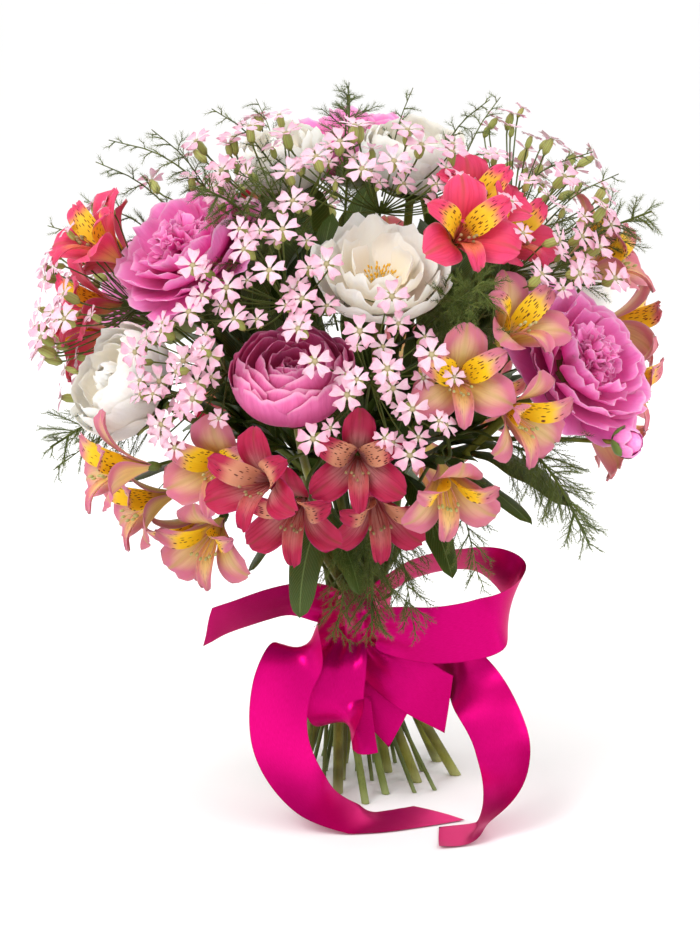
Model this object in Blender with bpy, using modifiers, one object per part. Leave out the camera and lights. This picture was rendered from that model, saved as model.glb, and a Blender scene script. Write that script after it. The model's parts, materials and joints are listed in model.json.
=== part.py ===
"""Hand-tied bouquet of peonies, alstroemerias, cow cockle sprays and asparagus fern, with a satin bow.

Metres, +Z up. The bouquet stands on its cut stems. The origin is the middle of the middle stem's cut end.
"""

import math
import random

import bmesh
import bpy
from mathutils import Matrix, Vector
from mathutils.bvhtree import BVHTree
from mathutils.geometry import interpolate_bezier

# Driving dimensions
HEART = Vector((0.0, 0.0, 0.285))  # middle of the dome of flowers
TIE_HEIGHT = 0.112
TWIST = 36.0  # lean of a stem at the tie, for each metre that it passes from the axis
GAP = 0.0003  # air between pieces that touch
PEONY_STEM = 0.0033
ALSTRO_STEM = 0.0025
SPRAY_STEM = 0.0014
FERN_STEM = 0.0014
RIBBON_WIDTH = 0.038
RIBBON_THICKNESS = 0.0008
RIBBON_STEP = 0.010  # length of ribbon to a facet
HEAD_TURN = 60.0  # degrees that a stem turns round the axis between the tie and its head
SEED = 11

# Heads are placed from HEART by azimuth from +X, elevation and reach, and face another azimuth and elevation
PEONIES = {
    "peony_white_crown": dict(at=(-60, 62, 0.145), faces=(-80, 72), radius=0.034, form="globe"),
    "peony_white_left": dict(at=(-144, -2, 0.178), faces=(-152, 28), radius=0.038, form="globe"),
    "peony_white_peak": dict(at=(-140, 64, 0.138), faces=(-130, 70), radius=0.032, form="globe"),
    "peony_pink_left": dict(at=(-139, 28, 0.154), faces=(-140, 45), radius=0.045, form="ruffled"),
    "peony_pink_front": dict(at=(-105, 1, 0.150), faces=(-98, 58), radius=0.037, form="cup"),
    "peony_white_front": dict(at=(-84, 26, 0.150), faces=(-85, 56), radius=0.041, form="open"),
    "peony_pink_right": dict(at=(-37, 2, 0.172), faces=(-46, 32), radius=0.047, form="ruffled"),
    "peony_white_back": dict(at=(38, 10, 0.168), faces=(38, 35), radius=0.050, form="cup"),
    "peony_pink_peak": dict(at=(85, 60, 0.140), faces=(85, 70), radius=0.048, form="ruffled"),
    "peony_pink_back": dict(at=(142, 10, 0.168), faces=(142, 35), radius=0.049, form="cup"),
}
# Each flower of an umbel: azimuth, elevation, reach, and the azimuth and elevation that it faces
UMBELS = {
    "alstro_yellow_left": dict(
        hub=(-131, -24, 0.118),
        flowers=[
            (-119, -16, 0.182, -106, 0),
            (-133, -38, 0.176, -114, -24),
            (-135, -13, 0.192, -160, 4),
            (-149, -28, 0.184, -156, -10),
            (-157, -44, 0.170, -158, -42),
        ],
    ),
    "alstro_crimson_front": dict(
        hub=(-98, -22, 0.112),
        flowers=[
            (-90, -14, 0.178, -90, 0),
            (-103, -24, 0.180, -104, -14),
            (-108, -15, 0.186, -116, 8),
            (-85, -28, 0.172, -80, -26),
        ],
    ),
    "alstro_yellow_right": dict(
        hub=(-64, -8, 0.118),
        flowers=[
            (-71, 2, 0.186, -84, 8),
            (-58, 12, 0.186, -50, 38),
            (-58, -6, 0.186, -46, -16),
            (-72, -20, 0.182, -76, -34),
        ],
    ),
    "alstro_red_top": dict(
        hub=(-60, 36, 0.112),
        flowers=[(-58, 38, 0.172, -60, 45), (-67, 29, 0.174, -74, 22), (-50, 30, 0.172, -38, 28)],
    ),
    "alstro_red_left": dict(
        hub=(-166, 12, 0.118),
        flowers=[
            (-155, 24, 0.178, -150, 40),
            (-164, 11, 0.184, -160, 5),
            (-177, 22, 0.174, 178, 30),
            (-179, 2, 0.180, 176, -6),
        ],
    ),
    "alstro_salmon_right": dict(
        hub=(-4, 8, 0.118),
        flowers=[
            (-11, 20, 0.180, -14, 28),
            (-12, -6, 0.184, -14, -10),
            (5, 4, 0.184, 6, 0),
            (6, 24, 0.174, 12, 36),
            (6, -20, 0.182, 8, -28),
        ],
    ),
    "alstro_yellow_back": dict(
        hub=(70, -8, 0.118),
        flowers=[
            (58, -18, 0.182, 56, -22),
            (66, 2, 0.182, 64, 6),
            (82, 12, 0.178, 82, 22),
            (80, -12, 0.184, 84, -14),
            (70, -34, 0.178, 70, -42),
        ],
    ),
    "alstro_crimson_back": dict(
        hub=(113, -2, 0.118),
        flowers=[
            (102, 6, 0.182, 98, 10),
            (120, 4, 0.182, 122, 4),
            (112, 24, 0.174, 112, 34),
            (103, -20, 0.182, 100, -26),
            (122, -20, 0.180, 126, -28),
        ],
    ),
}
# Sprays of florets: where the middle of the florets is, how wide they spread in degrees, and how many
SPRAYS = {
    "spray_front": dict(at=(-108, 19, 0.196), spread=(17, 10), florets=10),
    "spray_left": dict(at=(-123, 2, 0.200), spread=(10, 13), florets=9),
    "spray_middle": dict(at=(-87, 2, 0.203), spread=(13, 16), florets=10),
    "spray_top": dict(at=(-80, 50, 0.182), spread=(26, 12), florets=10),
    "spray_top_left": dict(at=(-118, 46, 0.182), spread=(22, 12), florets=8),
    "spray_far_left": dict(at=(-160, 14, 0.206), spread=(16, 18), florets=9),
    "spray_right": dict(at=(-42, 26, 0.196), spread=(16, 12), florets=10),
    "spray_back_right": dict(at=(18, 34, 0.190), spread=(22, 22), florets=11),
    "spray_back": dict(at=(118, 34, 0.188), spread=(26, 20), florets=11),
    "spray_back_left": dict(at=(168, 6, 0.196), spread=(14, 22), florets=10),
}
# Fern fronds: the direction and reach of the tip, and how far the tip droops
FRONDS = {
    "fern_top_left": dict(at=(-122, 34, 0.205), droop=0.010),
    "fern_front_right": dict(at=(-69, 18, 0.210), droop=0.000),
    "fern_low_right": dict(at=(-48, -24, 0.222), droop=0.030),
    "fern_low_left": dict(at=(-150, -12, 0.220), droop=0.020),
    "fern_low_front": dict(at=(-84, -62, 0.188), droop=0.040),
    "fern_crown": dict(at=(-100, 80, 0.165), droop=0.000),
    "fern_right": dict(at=(-18, 26, 0.212), droop=0.000),
    "fern_back": dict(at=(92, -26, 0.205), droop=0.030),
}
# Leaves: the stem, the share of its way up, the tip in metres, the width and how far it arches
LEAVES = [
    ("peony_pink_front", 0.47, (-0.036, -0.090, 0.128), 0.022, 0.010),
    ("peony_pink_front", 0.51, (0.002, -0.096, 0.144), 0.019, 0.006),
    ("alstro_yellow_right", 0.55, (0.058, -0.118, 0.160), 0.020, 0.010),
    ("alstro_yellow_right", 0.62, (0.104, -0.146, 0.200), 0.020, 0.010),
    ("peony_pink_right", 0.62, (0.128, -0.118, 0.205), 0.026, 0.010),
    ("alstro_yellow_left", 0.55, (-0.070, -0.070, 0.140), 0.020, 0.008),
    ("peony_white_left", 0.62, (-0.150, -0.050, 0.205), 0.026, 0.010),
    ("alstro_salmon_right", 0.58, (0.130, -0.010, 0.190), 0.020, 0.010),
    ("peony_white_back", 0.62, (0.120, 0.110, 0.215), 0.026, 0.010),
    ("alstro_yellow_back", 0.56, (0.050, 0.110, 0.150), 0.020, 0.010),
    ("alstro_crimson_back", 0.56, (-0.040, 0.120, 0.160), 0.020, 0.010),
    ("peony_pink_back", 0.62, (-0.120, 0.110, 0.210), 0.026, 0.010),
    ("alstro_red_left", 0.58, (-0.130, 0.010, 0.190), 0.020, 0.010),
]

# Closed buds: the stem, the share of its way up where the bud's stalk leaves, the bud's middle and its radius
BUDS = [("peony_pink_right", 0.66, (0.162, -0.128, 0.246), 0.0085)]

PINK = dict(color=(0.78, 0.22, 0.52), roughness=0.6)
WHITE = dict(color=(0.90, 0.86, 0.76), roughness=0.6)
YELLOW = dict(color=(0.86, 0.55, 0.30), roughness=0.55)
CRIMSON = dict(color=(0.68, 0.06, 0.24), roughness=0.55)
RED = dict(color=(0.80, 0.10, 0.16), roughness=0.55)
FLORET = dict(color=(0.88, 0.56, 0.70), roughness=0.65)
STEM = dict(color=(0.26, 0.38, 0.10), roughness=0.5)
FERN = dict(color=(0.12, 0.24, 0.06), roughness=0.6)
SATIN = dict(color=(0.70, 0.01, 0.34), roughness=0.3)

placed = []  # what already stands: the node's name, the box and the tree of each solid


def clear_scene():
    """Remove what the open file shows."""
    for item in list(bpy.data.objects):
        bpy.data.objects.remove(item)


def collection(name, hidden=False):
    """A new collection in the scene."""
    group = bpy.data.collections.new(name)
    bpy.context.scene.collection.children.link(group)
    group.hide_render = hidden
    return group


def material(name, color, roughness):
    """A Principled material, made once."""
    found = bpy.data.materials.get(name)
    if found:
        return found
    made = bpy.data.materials.new(name)
    made.use_nodes = True
    shader = made.node_tree.nodes["Principled BSDF"]
    shader.inputs["Base Color"].default_value = (*color, 1.0)
    shader.inputs["Roughness"].default_value = roughness
    shader.inputs["Metallic"].default_value = 0.0
    return made


def heading(azimuth, elevation):
    """The unit vector at an azimuth from +X and an elevation, in degrees."""
    a = math.radians(azimuth)
    e = math.radians(elevation)
    return Vector((math.cos(e) * math.cos(a), math.cos(e) * math.sin(a), math.sin(e)))


def on_dome(azimuth, elevation, reach):
    """The point at that direction and distance from the heart of the bouquet."""
    return HEART + reach * heading(azimuth, elevation)


def pose(point, direction):
    """A matrix at a point whose Z runs along a direction and whose Y looks up."""
    z = direction.normalized()
    up = Vector((0, 0, 1)) if abs(z.z) < 0.98 else Vector((0, 1, 0))
    x = up.cross(z).normalized()
    y = z.cross(x)
    turn = Matrix((x, y, z)).transposed()
    return Matrix.Translation(point) @ turn.to_4x4()


def smooth_path(points, count):
    """Points at equal steps on a smooth curve through the given points."""
    points = [Vector(p) for p in points]
    before = [2 * points[0] - points[1]] + points
    around = before + [2 * points[-1] - points[-2]]
    fine = []
    for a, b, c, d in zip(around, around[1:], around[2:], around[3:]):
        fine += interpolate_bezier(b, b + (c - a) / 6, c - (d - b) / 6, c, 24)[:-1]
    fine.append(points[-1])
    lengths = [0.0]
    for p, q in zip(fine, fine[1:]):
        lengths.append(lengths[-1] + (q - p).length)
    even = []
    k = 0
    for i in range(count):
        want = lengths[-1] * i / (count - 1)
        while k < len(fine) - 2 and lengths[k + 1] < want:
            k += 1
        share = (want - lengths[k]) / max(lengths[k + 1] - lengths[k], 1e-9)
        even.append(fine[k].lerp(fine[k + 1], share))
    return even


def tube(points, radius, resolution=1, taper=1.0):
    """A capped round tube along points, from a bevelled curve."""
    curve = bpy.data.curves.new("path", "CURVE")
    curve.dimensions = "3D"
    curve.bevel_depth = radius
    curve.bevel_resolution = resolution
    curve.use_fill_caps = True
    spline = curve.splines.new("POLY")
    spline.points.add(len(points) - 1)
    for i, (slot, point) in enumerate(zip(spline.points, points)):
        slot.co = (*point, 1.0)
        slot.radius = 1.0 + (taper - 1.0) * i / (len(points) - 1)
    holder = bpy.data.objects.new("path", curve)
    mesh = bpy.data.meshes.new_from_object(holder)
    bm = bmesh.new()
    bm.from_mesh(mesh)
    bmesh.ops.remove_doubles(bm, verts=bm.verts, dist=1e-6)
    bpy.data.objects.remove(holder)
    bpy.data.curves.remove(curve)
    bpy.data.meshes.remove(mesh)
    return bm


def spike(start, end, radius, tip=0.0, sides=3):
    """A thin straight rod with few sides that may end in a point."""
    bm = bmesh.new()
    run = end - start
    turn = run.to_track_quat("Z", "Y").to_matrix().to_4x4()
    matrix = Matrix.Translation((start + end) / 2) @ turn
    bmesh.ops.create_cone(
        bm, segments=sides, radius1=radius, radius2=tip, depth=run.length, cap_ends=True, matrix=matrix
    )
    bmesh.ops.remove_doubles(bm, verts=bm.verts, dist=1e-6)
    return bm


def ball(matrix, radius, height, subdivisions=1):
    """A round core, scaled along its own Z."""
    bm = bmesh.new()
    bmesh.ops.create_icosphere(bm, subdivisions=subdivisions, radius=radius)
    bmesh.ops.scale(bm, verts=bm.verts, vec=(1, 1, height / radius))
    bm.transform(matrix)
    return bm


def blade(place, across, along, thickness):
    """A petal or leaf: a grid laid by place(u, v), closed into a lens that is thickest inside its rim."""
    bm = bmesh.new()
    bmesh.ops.create_grid(bm, x_segments=across, y_segments=along, size=1)
    for vert in bm.verts:
        vert.co = place(vert.co.x, (vert.co.y + 1) / 2)
    bmesh.ops.remove_doubles(bm, verts=bm.verts, dist=1e-5)
    bmesh.ops.triangulate(bm, faces=bm.faces, quad_method="SHORT_EDGE")
    seal_lens(bm, thickness)
    return bm


def seal_lens(bm, thickness):
    """Close a triangulated sheet into a body that is thickest inside and thin at its rim."""
    flat = [e for e in bm.edges if not e.is_boundary and all(v.is_boundary for v in e.verts)]
    bmesh.ops.rotate_edges(bm, edges=flat)
    bm.normal_update()
    inner = [(v, v.normal * thickness / 2) for v in bm.verts if not v.is_boundary]
    copy = bmesh.ops.duplicate(bm, geom=bm.verts[:] + bm.edges[:] + bm.faces[:])
    back = [item for item in copy["geom"] if isinstance(item, bmesh.types.BMFace)]
    bmesh.ops.reverse_faces(bm, faces=back)
    for vert, step in inner:
        vert.co += step
        copy["vert_map"][vert].co -= step
    bmesh.ops.remove_doubles(bm, verts=bm.verts, dist=1e-6)


def outline(v, widest, base=0.25, tip=0.0):
    """Half the width of a petal, as a share of its widest, from its foot (v=0) to its tip (v=1)."""
    if v < widest:
        return base + (1 - base) * math.sin(math.pi / 2 * v / widest)
    fall = (v - widest) / (1 - widest)
    return tip + (1 - tip) * math.sqrt(max(0.0, 1 - fall ** 2.4))


def arc_petal(matrix, turn, foot, bend, width, wrap, start, end, widest=0.65, base=0.25, ruffle=0.0, tip=0.5):
    """Where a petal lies: a circular arc in a plane through the axis, wrapped sideways round the axis.

    foot is its distance from the axis and its height, bend its arc's radius, start and end the arc's angles.
    """
    spin = Matrix.Rotation(math.radians(turn), 4, "Z")

    def place(u, v):
        v_edge = v * (1 - 0.16 * abs(u) ** 2.2)
        angle = math.radians(start + (end - start) * v_edge)
        first = math.radians(start)
        out = foot[0] + bend * (math.sin(angle) - math.sin(first))
        up = foot[1] + bend * (math.cos(first) - math.cos(angle))
        side = u * width * outline(v, widest, base, tip)
        round_ = max(wrap, 0.3 * width)
        a = side / round_
        wave = ruffle * v * v * math.sin(5.0 * u + 2.0 * turn)
        x = out - round_ * (1 - math.cos(a)) + wave * math.sin(angle)
        y = round_ * math.sin(a)
        z = up - wave * math.cos(angle)
        return matrix @ (spin @ Vector((x, y, z)))

    return place


def extent(bm):
    """The low and high corners of a solid."""
    low = Vector([min(v.co[i] for v in bm.verts) for i in range(3)])
    high = Vector([max(v.co[i] for v in bm.verts) for i in range(3)])
    return low, high


def is_inside(point, tree):
    """Whether a point is within the closed solid of a tree."""
    crossings = 0
    ray = Vector((0.31, 0.22, 0.92)).normalized()
    hit = tree.ray_cast(point, ray)[0]
    while hit is not None and crossings < 20:
        crossings += 1
        hit = tree.ray_cast(hit + ray * 1e-6, ray)[0]
    return crossings % 2 == 1


def in_the_way(bm, node, gap=GAP):
    """The node of the first solid that another node's solid touches or comes too near, if any."""
    tree = BVHTree.FromBMesh(bm)
    low, high = extent(bm)
    for name, other_low, other_high, other in placed:
        if name == node:
            continue
        if any(low[i] - gap > other_high[i] or high[i] + gap < other_low[i] for i in range(3)):
            continue
        if tree.overlap(other) or is_inside(next(iter(bm.verts)).co, other):
            return name
        if any(other.find_nearest(v.co, gap)[0] is not None for v in bm.verts):
            return name
    return None


def is_clear(bm, node):
    """Whether a solid keeps its distance from every solid of the other nodes."""
    return in_the_way(bm, node) is None


def keep(pieces, node, bm):
    """Add a solid to a node's pieces, and to what the next ones stay clear of."""
    if bm.calc_volume(signed=True) < 0:
        bmesh.ops.reverse_faces(bm, faces=bm.faces[:])
    pieces.append(bm)
    placed.append((node, *extent(bm), BVHTree.FromBMesh(bm)))


def fuse(node, pieces, slot, look, group):
    """One closed object from the pieces of a node."""
    spare = collection("pieces", hidden=True)
    made = []
    for bm in pieces:
        mesh = bpy.data.meshes.new("piece")
        bm.to_mesh(mesh)
        bm.free()
        item = bpy.data.objects.new("piece", mesh)
        item.display_type = "WIRE"
        made.append(item)
    first = made[0]
    bpy.context.scene.collection.objects.link(first)
    for item in made[1:]:
        spare.objects.link(item)
    if len(made) > 1:
        join = first.modifiers.new("join", "BOOLEAN")
        join.operation = "UNION"
        join.operand_type = "COLLECTION"
        join.collection = spare
        join.solver = "MANIFOLD"
    bpy.context.view_layer.update()
    graph = bpy.context.evaluated_depsgraph_get()
    mesh = bpy.data.meshes.new_from_object(first.evaluated_get(graph))
    mesh.name = node
    mesh.materials.clear()
    mesh.materials.append(material(slot, **look))
    result = bpy.data.objects.new(node, mesh)
    group.objects.link(result)
    for item in made:
        bpy.data.objects.remove(item)
    bpy.data.collections.remove(spare)
    return result


# Peonies: each form is a core and its layers of petals, in shares of the bloom's radius
FORMS = {
    "globe": dict(
        core=(0.74, 0.74, 0.0),
        layers=[
            dict(count=3, foot=(0.30, 0.10), bend=0.46, start=20, end=150, width=0.36),
            dict(count=5, foot=(0.30, -0.56), bend=0.64, start=0, end=118, width=0.58),
        ],
    ),
    "cup": dict(
        core=(0.68, 0.62, -0.08),
        layers=[
            dict(count=3, foot=(0.36, 0.08), bend=0.36, start=20, end=130, width=0.34),
            dict(count=5, foot=(0.30, -0.52), bend=0.66, start=0, end=108, width=0.56),
        ],
    ),
    "ruffled": dict(
        core=(0.62, 0.50, 0.02),
        layers=[
            dict(count=4, foot=(0.24, 0.20), bend=0.40, start=30, end=110, width=0.26),
            dict(count=6, foot=(0.30, -0.26), bend=0.80, start=0, end=62, width=0.48),
        ],
    ),
    "open": dict(
        core=(0.56, 0.46, -0.20),
        layers=[
            dict(count=3, foot=(0.24, -0.28), bend=0.50, start=10, end=112, width=0.44),
            dict(count=5, foot=(0.24, -0.52), bend=0.76, start=-4, end=98, width=0.58),
        ],
    ),
}


def peony(node, at, faces, radius, form):
    """The solids of a bloom, and the point under it where its stem ends."""
    pieces = []
    matrix = pose(on_dome(*at), heading(*faces))
    shape = FORMS[form]
    size, height, lift = shape["core"]
    seat = matrix @ Matrix.Translation((0, 0, lift * radius))
    keep(pieces, node, ball(seat, size * radius, height * radius))
    scaled = matrix @ Matrix.Scale(radius, 4)
    for order, layer in enumerate(shape["layers"]):
        for k in range(layer["count"]):
            turn = 360 / layer["count"] * (k + 0.37 * order)
            lay = arc_petal(
                scaled, turn, layer["foot"], layer["bend"], layer["width"], 0.9 * layer["bend"],
                layer["start"], layer["end"] + 5 * math.sin(3.1 * k + order), ruffle=0.04,
            )
            petal = blade(lay, 2, 2, 0.0020)
            keep(pieces, node, petal)
    under = matrix @ Vector((0, 0, (lift - height) * radius))
    return pieces, under


# Alstroemerias: three broad outer tepals and three narrow inner ones round one funnel
FLOWER_DEPTH = 0.030
FLOWER_RADIUS = 0.030
NOTCH = 0.42  # how far out the gap between two tepals reaches


def alstroemeria(node, point, direction):
    """The solid of a flower: a funnel with six lobes, thin at its rim."""
    bm = bmesh.new()
    bmesh.ops.create_circle(bm, cap_ends=True, cap_tris=True, segments=18, radius=1.0)
    for vert in bm.verts:
        far = math.hypot(vert.co.x, vert.co.y)
        turn = math.degrees(math.atan2(vert.co.y, vert.co.x)) - 80
        lobe = round(turn / 60)
        aside = turn - 60 * lobe
        lobe_edge = abs(aside) < 20
        spread = (1.7 if lobe % 2 == 0 else 0.95) if lobe_edge else 1.0
        out = far * FLOWER_RADIUS * (1.0 if lobe_edge else NOTCH)
        a = math.radians(90 + 60 * lobe + aside * spread)
        deep = -FLOWER_DEPTH * (1 - out / FLOWER_RADIUS)
        vert.co = Vector((out * math.cos(a), out * math.sin(a), deep))
    seal_lens(bm, 0.0036)
    bm.transform(pose(point, direction))
    pieces = []
    keep(pieces, node, bm)
    return pieces


# Stems
RADIUS = {}
routes = []  # the polyline and the radius of each stem that has its way


def pack_tie(order):
    """Where each stem crosses the tie, each in turn pushed in towards the axis near its head's side."""
    slots = {}
    ring = sorted(order, key=lambda n: AZIMUTH[n])
    even = {n: 360 * i / len(ring) - 180 for i, n in enumerate(ring)}

    def fits(node, here):
        apart = {name: RADIUS[node] + RADIUS[name] + 0.8 * GAP for name in slots}
        return all(line_gap(here, slots[name]) >= apart[name] for name in slots)

    for node in order:
        wanted = 0.5 * (AZIMUTH[node] + even[node]) + HEAD_TURN
        best = None
        for aside in (0, 4, -4, 8, -8, 12, -12, 16, -16, 20, -20, 26, -26, 32, -32):
            turn = math.radians(wanted + aside)
            across = 0.0
            while not fits(node, across * Vector((math.cos(turn), math.sin(turn)))):
                across += 0.00005
            cost = across + abs(aside) * 0.00003
            if best is None or cost < best[0]:
                best = (cost, across * Vector((math.cos(turn), math.sin(turn))))
        slots[node] = best[1]
    return slots


def line_gap(here, other):
    """The least distance between the middles of two stems that cross the tie at those points."""
    a = Vector((TWIST * here.y, -TWIST * here.x, 1))
    b = Vector((TWIST * other.y, -TWIST * other.x, 1))
    apart = (other - here).to_3d()
    across = a.cross(b)
    if across.length < 1e-9:
        return apart.cross(a).length / a.length
    return abs(apart.dot(across)) / across.length


def lean_point(crossing, height):
    """Where a stem that crosses the tie at that point is at a height."""
    step = TWIST * (height - TIE_HEIGHT)
    return Vector((crossing.x + step * crossing.y, crossing.y - step * crossing.x, height))


def nearest_gap(points, radius):
    """The least air between a polyline of that radius and every routed stem."""
    least = 1.0
    for other, other_radius in routes:
        for p in points:
            for a, b in zip(other, other[1:]):
                run = b - a
                share = max(0.0, min(1.0, (p - a).dot(run) / run.length_squared))
                least = min(least, (p - a - run * share).length - radius - other_radius)
                if least < GAP:
                    return least
    return least


def free_of_solids(points, radius, own, solids):
    """Whether a polyline keeps clear of the solids, its own head excepted near its end."""
    for name, low, high, tree in solids:
        for i, p in enumerate(points):
            if name == own and i > len(points) - 4:
                continue
            if any(p[k] + radius < low[k] or p[k] - radius > high[k] for k in range(3)):
                continue
            if tree.find_nearest(p, radius + 2 * GAP)[0] is not None or is_inside(p, tree):
                return False
    return True


def route(node, slot, end, direction, solids):
    """A stem's way from the floor through the tie to its head, clear of the others."""
    rng = random.Random(SEED)
    low = [lean_point(slot, h) for h in (-0.012, TIE_HEIGHT - 0.020, TIE_HEIGHT + 0.010)]
    rise = (low[2] - low[1]).normalized()
    best = None
    for attempt in range(160):
        spread = min(1.0, attempt / 60)
        out = 0.42 + spread * rng.uniform(-0.22, 0.30)
        back = 0.34 + spread * rng.uniform(-0.20, 0.22)
        tilt = Vector([rng.uniform(-1, 1) for _ in range(3)]) * spread * 0.5
        reach = (end - low[2]).length
        arrive = (direction + tilt).normalized()
        bend = interpolate_bezier(low[2], low[2] + rise * out * reach, end - arrive * back * reach, end, 30)
        if not free_of_solids(bend, RADIUS[node], node, solids):
            continue
        gap = nearest_gap(bend, RADIUS[node])
        if best is None or gap > best[0]:
            best = (gap, bend)
        if gap >= GAP:
            break
    if best is None:
        print("no way for", node)
        return None
    if best[0] < GAP:
        print("tight", node, round(best[0] * 1000, 2))
    points = [lean_point(slot, h) for h in (-0.012, 0.030, 0.070)] + low[1:2] + best[1]
    routes.append((points, RADIUS[node]))
    return points


def stem(points, radius, facets):
    """The tube of a stem, cut level where it stands."""
    short = smooth_path(points, facets)
    bends = [points[0], points[4]] + [p for p in short if p.z > TIE_HEIGHT + 0.018]
    bm = tube(bends, radius, 1 if radius > 0.002 else 0)
    whole = bm.verts[:] + bm.edges[:] + bm.faces[:]
    bmesh.ops.bisect_plane(bm, geom=whole, plane_co=(0, 0, 0), plane_no=(0, 0, 1), clear_inner=True)
    rim = [e for e in bm.edges if e.is_boundary]
    bmesh.ops.contextual_create(bm, geom=rim)
    return bm


def leaf(root, tip, width, droop):
    """A pointed leaf between two points that arches up in its middle."""
    run = tip - root
    side = run.cross(Vector((0, 0, 1))).normalized()
    up = side.cross(run).normalized()

    def place(u, v):
        half = width / 2 * outline(v, 0.42, 0.25, 0.02) * u
        arch = droop * 4 * v * (1 - v)
        return root + run * v + side * half + up * (arch - 0.25 * abs(half))

    return blade(place, 2, 4, 0.0014)


def leaf_choices(way, share, tip, width, arch):
    """A leaf's root, tip, width and arch, as wanted and then with its ends moved a little."""
    rng = random.Random(SEED)
    for attempt in range(60):
        spread = min(1.0, attempt / 20)
        root = way[round(share * (len(way) - 1)) + round(spread * rng.uniform(-4, 4))]
        move = Vector([rng.uniform(-1, 1) for _ in range(3)]) * 0.014 * spread
        yield root, Vector(tip) + move, width, arch


def bud(root, place, radius):
    """A closed bud on a stalk of its own."""
    away = (place - root).normalized()
    stalk = spike(root, place - away * radius * 0.9, 0.0015, 0.0013, 5)
    return [stalk, ball(pose(place, away), radius, radius * 1.1)]


def ribbon(points, thickness=RIBBON_THICKNESS):
    """A length of ribbon: a grid through points, each with the direction across it, given a thickness."""
    middle = smooth_path([p for p, _ in points], 200)
    count = max(3, round(sum((b - a).length for a, b in zip(middle, middle[1:])) / RIBBON_STEP))
    line = smooth_path([p for p, _ in points], count + 1)
    stops = [0.0]
    for (a, _), (b, _) in zip(points, points[1:]):
        stops.append(stops[-1] + (Vector(b) - Vector(a)).length)
    sides = []
    for i in range(count + 1):
        want = stops[-1] * i / count
        k = max(j for j in range(len(stops) - 1) if stops[j] <= want + 1e-9)
        share = (want - stops[k]) / (stops[k + 1] - stops[k])
        sides.append(Vector(points[k][1]).lerp(Vector(points[k + 1][1]), share).normalized())
    bm = bmesh.new()
    bmesh.ops.create_grid(bm, x_segments=1, y_segments=count, size=1)
    for vert in bm.verts:
        k = round((vert.co.y + 1) / 2 * count)
        along = (line[min(k + 1, count)] - line[max(k - 1, 0)]).normalized()
        across = (sides[k] - along * sides[k].dot(along)).normalized()
        vert.co = line[k] + across * vert.co.x * RIBBON_WIDTH / 2
        vert.co.z = max(vert.co.z, 1.5 * RIBBON_THICKNESS)
    bmesh.ops.triangulate(bm, faces=bm.faces)
    bmesh.ops.recalc_face_normals(bm, faces=bm.faces)
    bmesh.ops.solidify(bm, geom=bm.faces[:], thickness=thickness)
    return bm


def spray_florets(node, at, spread, florets):
    """Where the florets of a spray may be and where each looks: its own places first, then spare ones."""
    rng = random.Random(node)
    spots = []
    for i in range(3 * florets):
        share = math.sqrt((i + 0.5) / florets % 1.0)
        angle = i * 2.39996 + 1.0
        elevation = at[1] + spread[1] * share * math.sin(angle)
        azimuth = at[0] + spread[0] * share * math.cos(angle) / max(0.3, math.cos(math.radians(elevation)))
        reach = at[2] + rng.uniform(-0.006, 0.006)
        look = heading(azimuth + rng.uniform(-25, 25), elevation + rng.uniform(-12, 28))
        spots.append((on_dome(azimuth, elevation, reach), look))
    return spots


FLORET_RADIUS = 0.0105
FLORET_DEPTH = 0.013


def floret(point, look):
    """A small flower: five petals' tips that narrow to the foot of its calyx."""
    bm = bmesh.new()
    matrix = pose(point - look * FLORET_DEPTH / 2, look)
    bmesh.ops.create_cone(
        bm, segments=5, radius1=0.0, radius2=FLORET_RADIUS, depth=FLORET_DEPTH, cap_ends=True, matrix=matrix
    )
    bmesh.ops.remove_doubles(bm, verts=bm.verts, dist=1e-6)
    bmesh.ops.triangulate(bm, faces=bm.faces)
    return bm


def spray(node, spec, path, pieces):
    """Florets on stalks that leave the upper part of the spray's stem."""
    held = 0
    forks = path[-14::2]
    for point, look in spray_florets(node, **spec):
        if held == spec["florets"]:
            break
        star = floret(point, look)
        foot = point - look * (FLORET_DEPTH - 0.003)
        if not is_clear(star, node):
            star.free()
            continue
        for fork in sorted(forks, key=lambda p: (p - foot).length):
            stalk = spike(fork, foot, 0.0007, 0.0006)
            if is_clear(stalk, node):
                keep(pieces, node, star)
                keep(pieces, node, stalk)
                held += 1
                break
            stalk.free()
    print(node, "florets", held, "of", spec["florets"])


BRANCHES = 13


def frond(node, at, droop, path, pieces):
    """Side branches and needles along the outer part of a fern's stem."""
    rng = random.Random(node)
    start = path[-1]
    tip = on_dome(*at)
    held = 0
    best = None
    for attempt in range(40):
        spread = attempt / 40
        lift = Vector([rng.uniform(-1, 1) for _ in range(3)]) * 0.02 * spread
        middle = start.lerp(tip, 0.5) + Vector((0, 0, droop / 2)) + lift
        line = smooth_path([start - (path[-1] - path[-2]).normalized() * 0.004, middle, tip], 8)
        rachis = tube(line, FERN_STEM * 0.9, 0, 0.5)
        if is_clear(rachis, node):
            best = line
            keep(pieces, node, rachis)
            break
        rachis.free()
    if best is None:
        print("no rachis for", node)
        return
    for k in range(2, BRANCHES):
        share = k / BRANCHES
        place = share * 7
        root = best[int(place)].lerp(best[min(int(place) + 1, 7)], place % 1)
        along = (best[min(int(place) + 1, 7)] - best[max(int(place) - 1, 0)]).normalized()
        side = along.orthogonal().normalized()
        side.rotate(Matrix.Rotation(2.4 * k, 3, along))
        length = 0.040 * (1 - share) ** 0.7 + 0.008
        out = (along * 0.75 + side).normalized()
        branch = spike(root - out * 0.0003, root + out * length, 0.0006, 0.0003)
        if not is_clear(branch, node):
            branch.free()
            continue
        keep(pieces, node, branch)
        held += 1
    print(node, "branches", held)


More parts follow.
